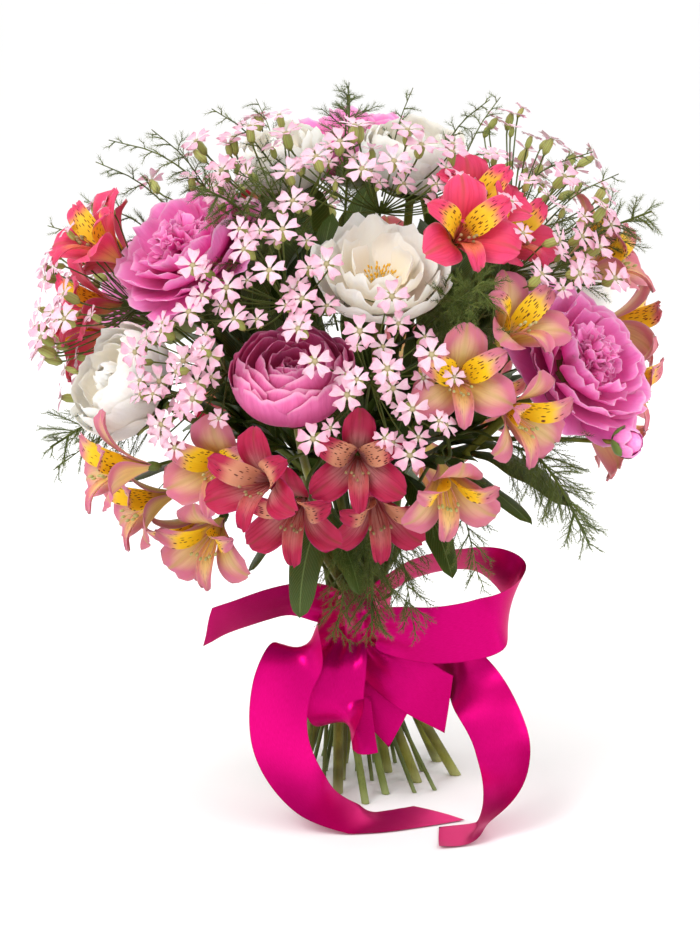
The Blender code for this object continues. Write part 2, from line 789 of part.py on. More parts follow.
# Bow: each length of ribbon by points and the direction across it there, with y from the tied stems' front
RIBBONS = {
    "ribbon_loop_right": [
        ((0.0165, -0.015, 0.128), (0, -0.7, 0.6)),
        ((0.045, -0.011, 0.146), (0.0, -0.8, 0.5)),
        ((0.082, -0.013, 0.151), (0.1, -0.8, 0.5)),
        ((0.108, -0.031, 0.140), (0.3, -0.4, 0.85)),
        ((0.094, -0.057, 0.122), (0.2, 0.1, 1.0)),
        ((0.058, -0.055, 0.113), (0.0, -0.1, 1.0)),
        ((0.018, -0.037, 0.112), (0, -0.2, 1.0)),
    ],
    "ribbon_loop_left": [
        ((-0.0165, -0.015, 0.122), (0, -0.3, 0.9)),
        ((-0.045, -0.021, 0.128), (0, -0.7, 0.7)),
        ((-0.084, -0.033, 0.118), (0.1, -0.7, 0.7)),
        ((-0.104, -0.037, 0.110), (0.1, -0.6, 0.8)),
    ],
    "ribbon_tail_left": [
        ((-0.018, -0.037, 0.110), (0.3, 0.3, 0.9)),
        ((-0.040, -0.061, 0.106), (0.7, 0.3, 0.6)),
        ((-0.056, -0.079, 0.082), (1, 0.3, 0.1)),
        ((-0.056, -0.093, 0.048), (1, 0.4, -0.1)),
        ((-0.036, -0.103, 0.018), (0.9, 0.6, -0.2)),
        ((-0.004, -0.101, 0.0025), (0.5, 0.85, 0.05)),
        ((0.026, -0.089, 0.0012), (-0.2, 1, 0)),
        ((0.050, -0.077, 0.0012), (-0.3, 1, 0)),
    ],
    "ribbon_tail_right": [
        ((0.0175, -0.017, 0.102), (-0.1, 0.2, 0.9)),
        ((0.036, -0.021, 0.100), (-0.2, 0.2, 0.9)),
        ((0.062, -0.035, 0.094), (-0.6, 0.3, 0.8)),
        ((0.085, -0.066, 0.072), (0.9, -0.3, 0.3)),
        ((0.098, -0.087, 0.046), (0.9, -0.5, 0.1)),
        ((0.096, -0.103, 0.021), (0.5, -0.8, 0.3)),
        ((0.078, -0.117, 0.0022), (-0.3, -0.9, 0.05)),
        ((0.050, -0.127, 0.0012), (-0.2, -1, 0)),
    ],
    "ribbon_tail_center": [
        ((-0.004, -0.013, 0.0930), (1, 0, 0.0)),
        ((-0.004, -0.019, 0.082), (1, -0.1, 0.05)),
        ((0.012, -0.027, 0.066), (1, -0.1, 0.2)),
        ((0.034, -0.035, 0.044), (1, -0.1, 0.25)),
    ],
}
# Which way each ribbon is drawn up to the knot
SEATS = {
    "ribbon_loop_right": (-1, 0, 0),
    "ribbon_loop_left": (1, 0, 0),
    "ribbon_tail_left": (0.6, 0.8, 0),
    "ribbon_tail_right": (-0.6, 0.8, 0),
    "ribbon_tail_center": (0, 0, 1),
}
BAND_HALF = 0.010
BAND_FACETS = 24


def band(across):
    """The ribbon wound round the stems: a turned sleeve that follows their waist."""
    heights = (-1.0, 0.0, 1.0)

    def radius(share):
        lean = TWIST * share * BAND_HALF
        return (across * math.sqrt(1 + lean * lean) + GAP) / math.cos(math.pi / BAND_FACETS)

    bm = bmesh.new()
    outer = [bm.verts.new((radius(s) + 0.0016, 0, TIE_HEIGHT + s * BAND_HALF)) for s in heights]
    inner = [bm.verts.new((radius(s), 0, TIE_HEIGHT + s * BAND_HALF)) for s in reversed(heights)]
    loop = outer + inner
    for a, b in zip(loop, loop[1:] + loop[:1]):
        bm.edges.new((a, b))
    mesh = bpy.data.meshes.new("profile")
    bm.to_mesh(mesh)
    bm.free()
    holder = bpy.data.objects.new("profile", mesh)
    bpy.context.scene.collection.objects.link(holder)
    screw = holder.modifiers.new("turn", "SCREW")
    screw.steps = BAND_FACETS
    screw.render_steps = BAND_FACETS
    screw.use_merge_vertices = True
    screw.merge_threshold = 0.0001
    bpy.context.view_layer.update()
    graph = bpy.context.evaluated_depsgraph_get()
    turned = bpy.data.meshes.new_from_object(holder.evaluated_get(graph))
    result = bmesh.new()
    result.from_mesh(turned)
    bmesh.ops.recalc_face_normals(result, faces=result.faces)
    bpy.data.objects.remove(holder)
    return result


def knot(across):
    """The knot in front of the sleeve, a plump pad sunk a little into it."""
    bm = bmesh.new()
    bmesh.ops.create_uvsphere(bm, u_segments=8, v_segments=5, radius=1)
    bmesh.ops.scale(bm, verts=bm.verts, vec=(0.0155, 0.014, 0.019))
    bmesh.ops.translate(bm, verts=bm.verts, vec=(0.0, -across - GAP - 0.0008 - 0.014, TIE_HEIGHT + 0.002))
    return bm


LOOKS = {"pink": PINK, "white": WHITE, "yellow": YELLOW, "crimson": CRIMSON, "red": RED, "salmon": YELLOW}
AZIMUTH = {}
ELEVATION = {}


def settle(node, build, azimuth, elevation, reach):
    """Build a flower where it is wanted, or a little further out if something is in its way."""
    for step in range(14):
        mark = len(placed)
        pieces = build(on_dome(azimuth, elevation, reach + 0.002 * step))
        if all(is_clear(bm, node) for bm in pieces):
            return pieces, reach + 0.002 * step
        del placed[mark:]
        for bm in pieces:
            bm.free()
    print("no room in", node, azimuth, elevation)
    return None, reach


def seat(bm, node, toward):
    """Draw a solid along a direction until it all but touches something."""
    step = 0.0002
    for _ in range(110):
        bmesh.ops.translate(bm, verts=bm.verts, vec=toward * step)
        if not is_clear(bm, node):
            bmesh.ops.translate(bm, verts=bm.verts, vec=-toward * step)
            return
    print("nothing to seat against", node)


def pedicel(node, hub, base, look):
    """The stalk of one flower of an umbel, bent clear of what is near."""
    rng = random.Random(node)
    reach = (base - hub).length
    for attempt in range(60):
        spread = attempt / 30
        tilt = Vector([rng.uniform(-1, 1) for _ in range(3)]) * spread * 0.5
        leave = ((base - hub).normalized() + tilt * 0.6).normalized()
        arrive = (look + tilt).normalized()
        bend = interpolate_bezier(hub, hub + leave * 0.35 * reach, base - arrive * 0.35 * reach, base, 5)
        stalk = spike(hub, base, 0.0011, 0.0009) if attempt == 0 else tube(bend, 0.0011, 0)
        if is_clear(stalk, node):
            return stalk
        stalk.free()
    return None


def build():
    clear_scene()
    group = collection("peony_bouquet")
    heads = {}
    ends = {}
    for node, spec in PEONIES.items():
        AZIMUTH[node], ELEVATION[node] = spec["at"][:2]
        RADIUS[node] = PEONY_STEM
        pieces, under = peony(node, **spec)
        if not all(is_clear(bm, node) for bm in pieces):
            print("bloom not clear", node)
        heads[node] = pieces
        look = heading(*spec["faces"])
        ends[node] = (under - look * 2 * GAP, look)
    flowers = {}
    for node, spec in UMBELS.items():
        AZIMUTH[node], ELEVATION[node] = spec["hub"][:2]
        RADIUS[node] = ALSTRO_STEM
        heads[node] = []
        flowers[node] = []
        for azimuth, elevation, reach, turn, tilt in spec["flowers"]:
            look = heading(turn, tilt)
            pieces, reach = settle(node, lambda p: alstroemeria(node, p, look), azimuth, elevation, reach)
            if pieces:
                seat_ = pose(on_dome(azimuth, elevation, reach), look)
                hub = on_dome(*spec["hub"])
                joints = [seat_ @ (0.25 * FLOWER_RADIUS * heading(90 + 120 * k, 0)) for k in range(3)]
                joints = [p - look * FLOWER_DEPTH * 0.75 for p in joints]
                flowers[node].append((min(joints, key=lambda p: (p - hub).length), look, pieces))
        hub = on_dome(*spec["hub"])
        away = heading(spec["hub"][0], spec["hub"][1] * 0.4 + 20)
        keep(heads[node], node, ball(pose(hub, away), 0.0034, 0.0034))
        ends[node] = (hub - away * (0.0034 + GAP), away)
    for node, spec in SPRAYS.items():
        AZIMUTH[node], ELEVATION[node] = spec["at"][:2]
        RADIUS[node] = SPRAY_STEM
        heads[node] = []
        azimuth, elevation, reach = spec["at"]
        away = heading(azimuth, elevation * 0.5 + 25)
        ends[node] = (on_dome(azimuth, elevation, reach - 0.050), away)
    for node, spec in FRONDS.items():
        AZIMUTH[node], ELEVATION[node] = spec["at"][:2]
        RADIUS[node] = FERN_STEM
        heads[node] = []
        azimuth, elevation, reach = spec["at"]
        away = heading(azimuth, max(elevation, -20))
        ends[node] = (on_dome(azimuth, elevation * 0.8, reach * 0.62), away)
    tallest = sorted(ends, key=lambda n: -ELEVATION[n])
    slots = pack_tie(tallest)
    outside = max(slots[node].length + RADIUS[node] for node in slots)
    print("tie", round(outside * 2000, 1))
    order = list(PEONIES) + list(UMBELS) + list(FRONDS) + list(SPRAYS)
    ways = {}
    stems = {}
    solids = placed[:]
    for node in order:
        end, look = ends[node]
        points = route(node, slots[node], end, look, solids)
        if points is None:
            continue
        ways[node] = points
        own = node if node in SPRAYS or node in FRONDS else node.replace("_", "_stem_", 1)
        stems[node] = own
        heads.setdefault(own, [])
        keep(heads[own], own, stem(points, RADIUS[node], 11))
    for node, blooms in flowers.items():
        hub = on_dome(*UMBELS[node]["hub"])
        for base, look, pieces in blooms:
            stalk = pedicel(node, hub, base, look)
            if stalk is None:
                print("flower dropped from", node)
                placed[:] = [row for row in placed if row[0] != node or row[3] not in pieces]
                continue
            keep(heads[node], node, stalk)
            heads[node] += pieces
    sleeve = []
    keep(sleeve, "ribbon_knot", band(outside))
    keep(sleeve, "ribbon_knot", knot(outside))
    heads["ribbon_knot"] = sleeve
    for node, points in RIBBONS.items():
        strip = ribbon([(Vector(p) - Vector((0, outside, 0)), across) for p, across in points])
        if not is_clear(strip, node):
            print("ribbon not clear", node, in_the_way(strip, node))
        seat(strip, node, Vector(SEATS[node]).normalized())
        heads[node] = []
        keep(heads[node], node, strip)
    for node, *shape in LEAVES:
        own = stems[node]
        for choice in leaf_choices(ways[node], *shape):
            green = leaf(*choice)
            if is_clear(green, own):
                keep(heads[own], own, green)
                break
            green.free()
        else:
            print("leaf dropped from", own)
    for node, share, place, radius in BUDS:
        own = stems[node]
        for root, middle, size, _ in leaf_choices(ways[node], share, place, radius, 0):
            solids = bud(root, middle, size)
            if all(is_clear(bm, own) for bm in solids):
                for bm in solids:
                    keep(heads[own], own, bm)
                break
        else:
            print("bud dropped from", own)
    for node, spec in SPRAYS.items():
        if node in ways:
            spray(node, spec, ways[node], heads[node])
    for node, spec in FRONDS.items():
        if node in ways:
            frond(node, spec["at"], spec["droop"], ways[node], heads[node])
    total = 0
    for node, pieces in heads.items():
        if not pieces:
            print("empty", node)
            continue
        slot, look = slot_of(node)
        made = fuse(node, pieces, slot, look, group)
        count = sum(len(p.vertices) - 2 for p in made.data.polygons)
        total += count
        print(node, count)
    print("nodes", len(group.objects), "triangles", total)


def slot_of(node):
    """The material of a node."""
    if node.startswith("ribbon"):
        return "ribbon_satin", SATIN
    if "_stem_" in node:
        return "stem_green", STEM
    if node.startswith("fern"):
        return "fern_green", FERN
    if node.startswith("spray"):
        return "floret_pink", FLORET
    color = node.split("_")[1]
    kind = "petal_" + ("yellow" if color == "salmon" else color)
    return kind, LOOKS[color]


build()
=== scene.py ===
import json
import math
import random

import bmesh
import bpy
import numpy as np
from mathutils import Matrix, Vector
from mathutils.bvhtree import BVHTree
from mathutils.geometry import interpolate_bezier

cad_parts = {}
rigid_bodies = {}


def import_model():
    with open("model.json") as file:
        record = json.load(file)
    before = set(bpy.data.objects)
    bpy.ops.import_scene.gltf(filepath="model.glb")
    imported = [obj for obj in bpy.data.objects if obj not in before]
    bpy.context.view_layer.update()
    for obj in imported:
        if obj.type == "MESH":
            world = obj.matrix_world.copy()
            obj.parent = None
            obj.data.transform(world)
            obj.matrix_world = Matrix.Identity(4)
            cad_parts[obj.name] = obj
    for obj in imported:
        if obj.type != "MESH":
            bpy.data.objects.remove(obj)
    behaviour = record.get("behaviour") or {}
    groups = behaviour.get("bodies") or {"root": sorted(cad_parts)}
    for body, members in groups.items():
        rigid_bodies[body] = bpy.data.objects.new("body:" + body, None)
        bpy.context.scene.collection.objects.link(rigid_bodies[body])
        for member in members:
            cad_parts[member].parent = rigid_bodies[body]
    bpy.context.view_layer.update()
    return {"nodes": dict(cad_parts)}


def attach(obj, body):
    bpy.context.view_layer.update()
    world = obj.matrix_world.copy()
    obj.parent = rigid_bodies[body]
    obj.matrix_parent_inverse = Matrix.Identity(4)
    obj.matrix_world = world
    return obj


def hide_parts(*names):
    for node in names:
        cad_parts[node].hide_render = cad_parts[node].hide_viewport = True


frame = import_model()
cadNodes = frame["nodes"]

# The bouquet's driving sizes, in metres, as its source has them
bouquet = dict(
    heart=(0.0, 0.0, 0.285),  # middle of the dome of flowers
    tieHeight=0.112,
    twist=36.0,  # lean of a stem at the tie, for each metre from the axis
    gap=0.0003,
    hub=0.0034,  # radius of the knob that an umbel's flowers leave
    seed=11,
)
heart = Vector(bouquet["heart"])
stemRadius = dict(peony=0.0033, alstro=0.0025, spray=0.0014, fern=0.0014)
golden = 2.39996  # radians from one small piece to the next, as plants set them
fullTurn = 6.28  # radians, the reach of a random turn

# Blooms: azimuth, elevation and reach from the heart, azimuth and elevation that it faces, radius and form
peonies = {
    "peony_white_crown": ((-60, 62, 0.145), (-80, 72), 0.034, "globe"),
    "peony_white_left": ((-144, -2, 0.178), (-152, 28), 0.038, "globe"),
    "peony_white_peak": ((-140, 64, 0.138), (-130, 70), 0.032, "globe"),
    "peony_pink_left": ((-139, 28, 0.154), (-140, 45), 0.045, "ruffled"),
    "peony_pink_front": ((-105, 1, 0.150), (-98, 58), 0.037, "cup"),
    "peony_white_front": ((-84, 26, 0.150), (-85, 56), 0.041, "open"),
    "peony_pink_right": ((-37, 2, 0.172), (-46, 32), 0.047, "ruffled"),
    "peony_white_back": ((38, 10, 0.168), (38, 35), 0.050, "cup"),
    "peony_pink_peak": ((85, 60, 0.140), (85, 70), 0.048, "ruffled"),
    "peony_pink_back": ((142, 10, 0.168), (142, 35), 0.049, "cup"),
}
underside = dict(globe=-0.74, cup=-0.70, ruffled=-0.48, open=-0.66)  # below a bloom's middle, in radii

# Umbels: the hub, and each flower's azimuth, elevation, reach and the azimuth and elevation that it faces
umbels = {
    "alstro_yellow_left": ((-131, -24, 0.118), [
        (-119, -16, 0.182, -106, 0), (-133, -38, 0.176, -114, -24), (-135, -13, 0.192, -160, 4),
        (-149, -28, 0.184, -156, -10), (-157, -44, 0.170, -158, -42)]),
    "alstro_crimson_front": ((-98, -22, 0.112), [
        (-90, -14, 0.178, -90, 0), (-103, -24, 0.180, -104, -14), (-108, -15, 0.186, -116, 8),
        (-85, -28, 0.172, -80, -26)]),
    "alstro_yellow_right": ((-64, -8, 0.118), [
        (-71, 2, 0.186, -84, 8), (-58, 12, 0.186, -50, 38), (-58, -6, 0.186, -46, -16),
        (-72, -20, 0.182, -76, -34)]),
    "alstro_red_top": ((-60, 36, 0.112), [
        (-58, 38, 0.172, -60, 45), (-67, 29, 0.174, -74, 22), (-50, 30, 0.172, -38, 28)]),
    "alstro_red_left": ((-166, 12, 0.118), [
        (-155, 24, 0.178, -150, 40), (-164, 11, 0.184, -160, 5), (-177, 22, 0.174, 178, 30),
        (-179, 2, 0.180, 176, -6)]),
    "alstro_salmon_right": ((-4, 8, 0.118), [
        (-11, 20, 0.180, -14, 28), (-12, -6, 0.184, -14, -10), (5, 4, 0.184, 6, 0),
        (6, 24, 0.174, 12, 36), (6, -20, 0.182, 8, -28)]),
    "alstro_yellow_back": ((70, -8, 0.118), [
        (58, -18, 0.182, 56, -22), (66, 2, 0.182, 64, 6), (82, 12, 0.178, 82, 22),
        (80, -12, 0.184, 84, -14), (70, -34, 0.178, 70, -42)]),
    "alstro_crimson_back": ((113, -2, 0.118), [
        (102, 6, 0.182, 98, 10), (120, 4, 0.182, 122, 4), (112, 24, 0.174, 112, 34),
        (103, -20, 0.182, 100, -26), (122, -20, 0.180, 126, -28)]),
}
# Sprays: place, spread in azimuth and elevation, and florets
sprays = {
    "spray_front": ((-108, 19, 0.196), (17, 10), 10),
    "spray_left": ((-123, 2, 0.200), (10, 13), 9),
    "spray_middle": ((-87, 2, 0.203), (13, 16), 10),
    "spray_top": ((-80, 50, 0.182), (26, 12), 10),
    "spray_top_left": ((-118, 46, 0.182), (22, 12), 8),
    "spray_far_left": ((-160, 14, 0.206), (16, 18), 9),
    "spray_right": ((-42, 26, 0.196), (16, 12), 10),
    "spray_back_right": ((18, 34, 0.190), (22, 22), 11),
    "spray_back": ((118, 34, 0.188), (26, 20), 11),
    "spray_back_left": ((168, 6, 0.196), (14, 22), 10),
}
# Fern fronds: place of the tip, and droop
fronds = {
    "fern_top_left": ((-122, 34, 0.205), 0.010),
    "fern_front_right": ((-69, 18, 0.210), 0.000),
    "fern_low_right": ((-48, -24, 0.222), 0.030),
    "fern_low_left": ((-150, -12, 0.220), 0.020),
    "fern_low_front": ((-84, -62, 0.188), 0.040),
    "fern_crown": ((-100, 80, 0.165), 0.000),
    "fern_right": ((-18, 26, 0.212), 0.000),
    "fern_back": ((92, -26, 0.205), 0.030),
}
# Leaves: the head whose stem bears it, the share of the stem, the tip, the width and the arch
leaves = [
    ("peony_pink_front", 0.47, (-0.036, -0.090, 0.128), 0.022, 0.010),
    ("peony_pink_front", 0.51, (0.002, -0.096, 0.144), 0.019, 0.006),
    ("alstro_yellow_right", 0.55, (0.058, -0.118, 0.160), 0.020, 0.010),
    ("alstro_yellow_right", 0.62, (0.104, -0.146, 0.200), 0.020, 0.010),
    ("peony_pink_right", 0.62, (0.128, -0.118, 0.205), 0.026, 0.010),
    ("alstro_yellow_left", 0.55, (-0.070, -0.070, 0.140), 0.020, 0.008),
    ("peony_white_left", 0.62, (-0.150, -0.050, 0.205), 0.026, 0.010),
    ("alstro_salmon_right", 0.58, (0.130, -0.010, 0.190), 0.020, 0.010),
    ("peony_white_back", 0.62, (0.120, 0.110, 0.215), 0.026, 0.010),
    ("alstro_yellow_back", 0.56, (0.050, 0.110, 0.150), 0.020, 0.010),
    ("alstro_crimson_back", 0.56, (-0.040, 0.120, 0.160), 0.020, 0.010),
    ("peony_pink_back", 0.62, (-0.120, 0.110, 0.210), 0.026, 0.010),
    ("alstro_red_left", 0.58, (-0.130, 0.010, 0.190), 0.020, 0.010),
]
sideBud = ("peony_pink_right", 0.66, (0.162, -0.128, 0.246), 0.0085)  # its stem, share, middle and radius


# Places and directions
def heading(azimuth, elevation):
    a = math.radians(azimuth)
    e = math.radians(elevation)
    return Vector((math.cos(e) * math.cos(a), math.cos(e) * math.sin(a), math.sin(e)))


def onDome(azimuth, elevation, reach):
    return heart + reach * heading(azimuth, elevation)


def poseAt(point, direction):  # Z along the direction and Y looking up
    z = direction.normalized()
    up = Vector((0, 0, 1)) if abs(z.z) < 0.98 else Vector((0, 1, 0))
    x = up.cross(z).normalized()
    return Matrix.Translation(point) @ Matrix((x, z.cross(x), z)).transposed().to_4x4()


def bloomPose(at, faces, radius):
    return poseAt(onDome(*at), heading(*faces)) @ Matrix.Scale(radius, 4)


def sideways(along, turn):  # a direction square to a line, turned round it
    side = along.orthogonal().normalized()
    side.rotate(Matrix.Rotation(turn, 3, along))
    return side


def scattered(rng, reach):  # a small random move
    return Vector([rng.uniform(-reach, reach) for _ in range(3)])


def smoothPath(points, count):
    points = [Vector(p) for p in points]
    around = [2 * points[0] - points[1], *points, 2 * points[-1] - points[-2]]
    fine = []
    for a, b, c, d in zip(around, around[1:], around[2:], around[3:]):
        fine += interpolate_bezier(b, b + (c - a) / 6, c - (d - b) / 6, c, 24)[:-1]
    fine.append(points[-1])
    lengths = [0.0]
    for p, q in zip(fine, fine[1:]):
        lengths.append(lengths[-1] + (q - p).length)
    even = []
    k = 0
    for i in range(count):
        want = lengths[-1] * i / (count - 1)
        while k < len(fine) - 2 and lengths[k + 1] < want:
            k += 1
        share = (want - lengths[k]) / max(lengths[k + 1] - lengths[k], 1e-9)
        even.append(fine[k].lerp(fine[k + 1], share))
    return even


surfaces = {}


def surfaceOf(node):
    if node not in surfaces:
        mesh = cadNodes[node].data
        faces = [p.vertices for p in mesh.polygons]
        surfaces[node] = BVHTree.FromPolygons([v.co for v in mesh.vertices], faces)
    return surfaces[node]


def distance(node, points):  # how far points lie from a CAD node's surface, on average
    return sum(surfaceOf(node).find_nearest(p)[3] for p in points) / len(points)


def nearest(choices, missOf, margin=0.0, enough=0.0):  # the choice that fits the CAD best, and its miss
    best = None
    for choice in choices:
        miss = missOf(choice)
        if best is None or miss < best[0] - margin:
            best = (miss, choice)
        if miss < enough:
            break
    return best


class Grids:  # gathers petals, leaves and small turned shapes into one mesh
    def __init__(self):
        self.parts = []
        self.count = 0

    def put(self, points, quads, triangles, uv, tint, rim):
        tints = np.tile(tint, (len(points), 1))
        self.parts.append((points, quads + self.count, triangles + self.count, uv, tints, rim))
        self.count += len(points)

    def sheet(self, grid, thickness, tint):  # a thin closed petal or leaf from a grid of points
        rows, columns = grid.shape[:2]
        normal = np.cross(np.gradient(grid, axis=1), np.gradient(grid, axis=0))
        normal /= np.maximum(np.linalg.norm(normal, axis=2, keepdims=True), 1e-12)
        rim = np.zeros((rows, columns), bool)
        rim[[0, -1], :] = rim[:, [0, -1]] = True
        step = np.where(rim[..., None], 0.0, normal * thickness / 2)
        inner = ~rim.reshape(-1)
        i = np.arange(rows * columns).reshape(rows, columns)
        j = np.where(rim, i, 0)
        j[~rim] = rows * columns + np.arange(inner.sum())
        upper = np.stack([i[:-1, :-1], i[:-1, 1:], i[1:, 1:], i[1:, :-1]], axis=2).reshape(-1, 4)
        lower = np.stack([j[:-1, :-1], j[1:, :-1], j[1:, 1:], j[:-1, 1:]], axis=2).reshape(-1, 4)
        u, v = np.meshgrid(np.linspace(0, 1, columns), np.linspace(0, 1, rows))
        uv = np.stack([u.reshape(-1), v.reshape(-1)], axis=1)
        points = np.concatenate([(grid + step).reshape(-1, 3), (grid - step).reshape(-1, 3)[inner]])
        quads = np.concatenate([upper, lower])
        self.put(points, quads, np.zeros((0, 3), int), np.concatenate([uv, uv[inner]]), tint,
                 np.concatenate([~inner, np.zeros(inner.sum(), bool)]))

    # A closed shape turned from (radius, height) pairs
    def turned(self, matrix, profile, sides, tint, swell=lambda a, s: 1.0):
        rows = len(profile)
        angle = np.arange(sides) * 2 * math.pi / sides
        radius, height = (np.array(side)[:, None] for side in zip(*profile))
        wide = radius * swell(angle[None, :], np.linspace(0, 1, rows)[:, None])
        rings = [wide * np.cos(angle), wide * np.sin(angle), height + 0 * angle]
        ring = np.stack(rings, axis=2).reshape(-1, 3)
        i = np.arange(rows * sides).reshape(rows, sides)
        j = np.roll(i, -1, axis=1)
        quads = np.stack([i[:-1], j[:-1], j[1:], i[1:]], axis=2).reshape(-1, 4)
        first = np.stack([j[0], i[0], np.full(sides, rows * sides)], axis=1)
        last = np.stack([i[-1], j[-1], np.full(sides, rows * sides + 1)], axis=1)
        around = np.tile(angle / (2 * math.pi), rows)
        uv = np.stack([around, np.repeat(np.linspace(0, 1, rows), sides)], axis=1)
        points = np.concatenate([ring, [[0, 0, profile[0][1]], [0, 0, profile[-1][1]]]])
        self.put(moved(matrix, points), quads, np.concatenate([first, last]),
                 np.concatenate([uv, [[0.5, 0.0], [0.5, 1.0]]]), tint, np.zeros(len(points), bool))

    def mesh(self, name):
        points, quads, triangles, uv, tints, rims = (np.concatenate(part) for part in zip(*self.parts))
        mesh = bpy.data.meshes.new(name)
        mesh.vertices.add(len(points))
        mesh.vertices.foreach_set("co", points.reshape(-1))
        corners = np.concatenate([quads.reshape(-1), triangles.reshape(-1)])
        mesh.loops.add(len(corners))
        mesh.loops.foreach_set("vertex_index", corners)
        starts = np.concatenate([np.arange(len(quads)) * 4, len(quads) * 4 + np.arange(len(triangles)) * 3])
        mesh.polygons.add(len(starts))
        mesh.polygons.foreach_set("loop_start", starts)
        mesh.update(calc_edges=True)
        mesh.polygons.foreach_set("use_smooth", np.ones(len(starts), bool))
        mesh.uv_layers.new(name="tissue").data.foreach_set("uv", uv[corners].reshape(-1))
        tint = mesh.attributes.new("tint", "FLOAT_COLOR", "POINT")
        tint.data.foreach_set("color", np.column_stack([tints, np.ones(len(tints))]).reshape(-1))
        if rims.any():  # a petal's rim is a sharp edge
            ends = np.zeros(len(mesh.edges) * 2, int)
            mesh.edges.foreach_get("vertices", ends)
            sharp = mesh.attributes.new("sharp_edge", "BOOLEAN", "EDGE")
            sharp.data.foreach_set("value", rims[ends.reshape(-1, 2)].all(axis=1))
        mesh.validate()
        mesh.update()
        return mesh

    def object(self, name, material):
        mesh = self.mesh(name)
        mesh.materials.append(material)
        return link(name, mesh)


def moved(matrix, points):  # an array of points set in a piece's place
    m = np.array(matrix)
    return points @ m[:3, :3].T + m[:3, 3]


def link(name, data):
    item = bpy.data.objects.new(name, data)
    bpy.context.scene.collection.objects.link(item)
    return item


def place(item, slot, *nodes):  # every finished piece rides on the one body
    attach(item, "root")
    if nodes:
        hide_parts(*nodes)


# Shader building
class Tone:  # a value or colour inside a node tree, for plain arithmetic
    def __init__(self, socket):
        self.socket = socket

    def maths(self, operation, other=0.0):
        return get(self.socket.id_data, "ShaderNodeMath", {0: self, 1: other}, operation=operation)

    def __add__(self, other):
        return self.maths("ADD", other)

    def __sub__(self, other):
        return self.maths("SUBTRACT", other)

    def __mul__(self, other):
        return self.maths("MULTIPLY", other)

    def __abs__(self):
        return self.maths("ABSOLUTE")

    def step(self, low, high, start=0.0, end=1.0):  # a soft step from start to end between two values
        inputs = {0: self, 1: low, 2: high, 3: start, 4: end}
        return get(self.socket.id_data, "ShaderNodeMapRange", inputs, interpolation_type="SMOOTHSTEP")


def addNode(tree, kind, inputs=(), **settings):
    node = tree.nodes.new(kind)
    for key, value in settings.items():
        setattr(node, key, value)
    for key, value in dict(inputs).items():
        fill(tree, node.inputs[key], value)
    return node


def fill(tree, socket, value):
    if isinstance(value, Tone):
        tree.links.new(value.socket, socket)
    else:
        socket.default_value = value


def get(tree, kind, inputs=(), out=0, **settings):  # one output of a new node
    return Tone(addNode(tree, kind, inputs, **settings).outputs[out])


def coats(color, *layers):  # colours laid over one another: how much of each shows, and the colour
    for share, coat in layers:
        first, second = (c if isinstance(c, Tone) else (*c, 1.0) for c in (color, coat))
        inputs = {0: share, 6: first, 7: second}
        color = get(share.socket.id_data, "ShaderNodeMix", inputs, 2, data_type="RGBA")
    return color


def noise(tree, vector, scale, detail, **others):
    return get(tree, "ShaderNodeTexNoise", {"Vector": vector, "Scale": scale, "Detail": detail, **others})


def combine(tree, x, y, z):
    return get(tree, "ShaderNodeCombineXYZ", {0: x, 1: y, 2: z})


def newTree(name, kind, takes, gives):  # a node group with its inputs and outputs
    tree = bpy.data.node_groups.new(name, kind)
    for side, rows in (("INPUT", takes), ("OUTPUT", gives)):
        for label, socketKind, *value in rows:
            socket = tree.interface.new_socket(label, in_out=side, socket_type="NodeSocket" + socketKind)
            if value:
                socket.default_value = value[0]
    take = tree.nodes.new("NodeGroupInput").outputs
    give = tree.nodes.new("NodeGroupOutput").inputs
    return tree, {row[0]: Tone(take[row[0]]) for row in takes}, give


def buildPetalVeins():  # fine lines that fan out with a petal, from its own UV map
    tree, take, give = newTree("petalVeins", "ShaderNodeTree",
                               [("UV", "Vector"), ("Lines", "Float", 22.0), ("Seed", "Float", 0.0)],
                               [("Veins", "Float"), ("Height", "Float")])
    across, along = (get(tree, "ShaderNodeSeparateXYZ", {0: take["UV"]}, k) for k in (0, 1))
    aside = across + noise(tree, take["UV"], 3.0, 2.0) * 0.10
    row = combine(tree, aside * take["Lines"], along * 1.6, take["Seed"] * 37.0)
    veins = noise(tree, row, 1.0, 2.5, Roughness=0.6).step(0.42, 0.68)
    fill(tree, give["Veins"], veins)
    fill(tree, give["Height"], get(tree, "ShaderNodeMath", {0: 1.0, 1: veins}, operation="SUBTRACT"))
    return tree


def buildCrinkle():  # soft dents and tiny cells of a petal or leaf, on object coordinates
    tree, take, give = newTree("tissueCrinkle", "ShaderNodeTree",
                               [("Vector", "Vector"), ("Dents", "Float", 160.0), ("Cells", "Float", 1400.0)],
                               [("Height", "Float"), ("Mottle", "Float")])
    dents = noise(tree, take["Vector"], take["Dents"], 3.0)
    cells = noise(tree, take["Vector"], take["Cells"], 1.0)
    fill(tree, give["Height"], dents + cells * 0.15)
    fill(tree, give["Mottle"], noise(tree, take["Vector"], 55.0, 2.0))
    return tree


petalVeins = buildPetalVeins()
tissueCrinkle = buildCrinkle()


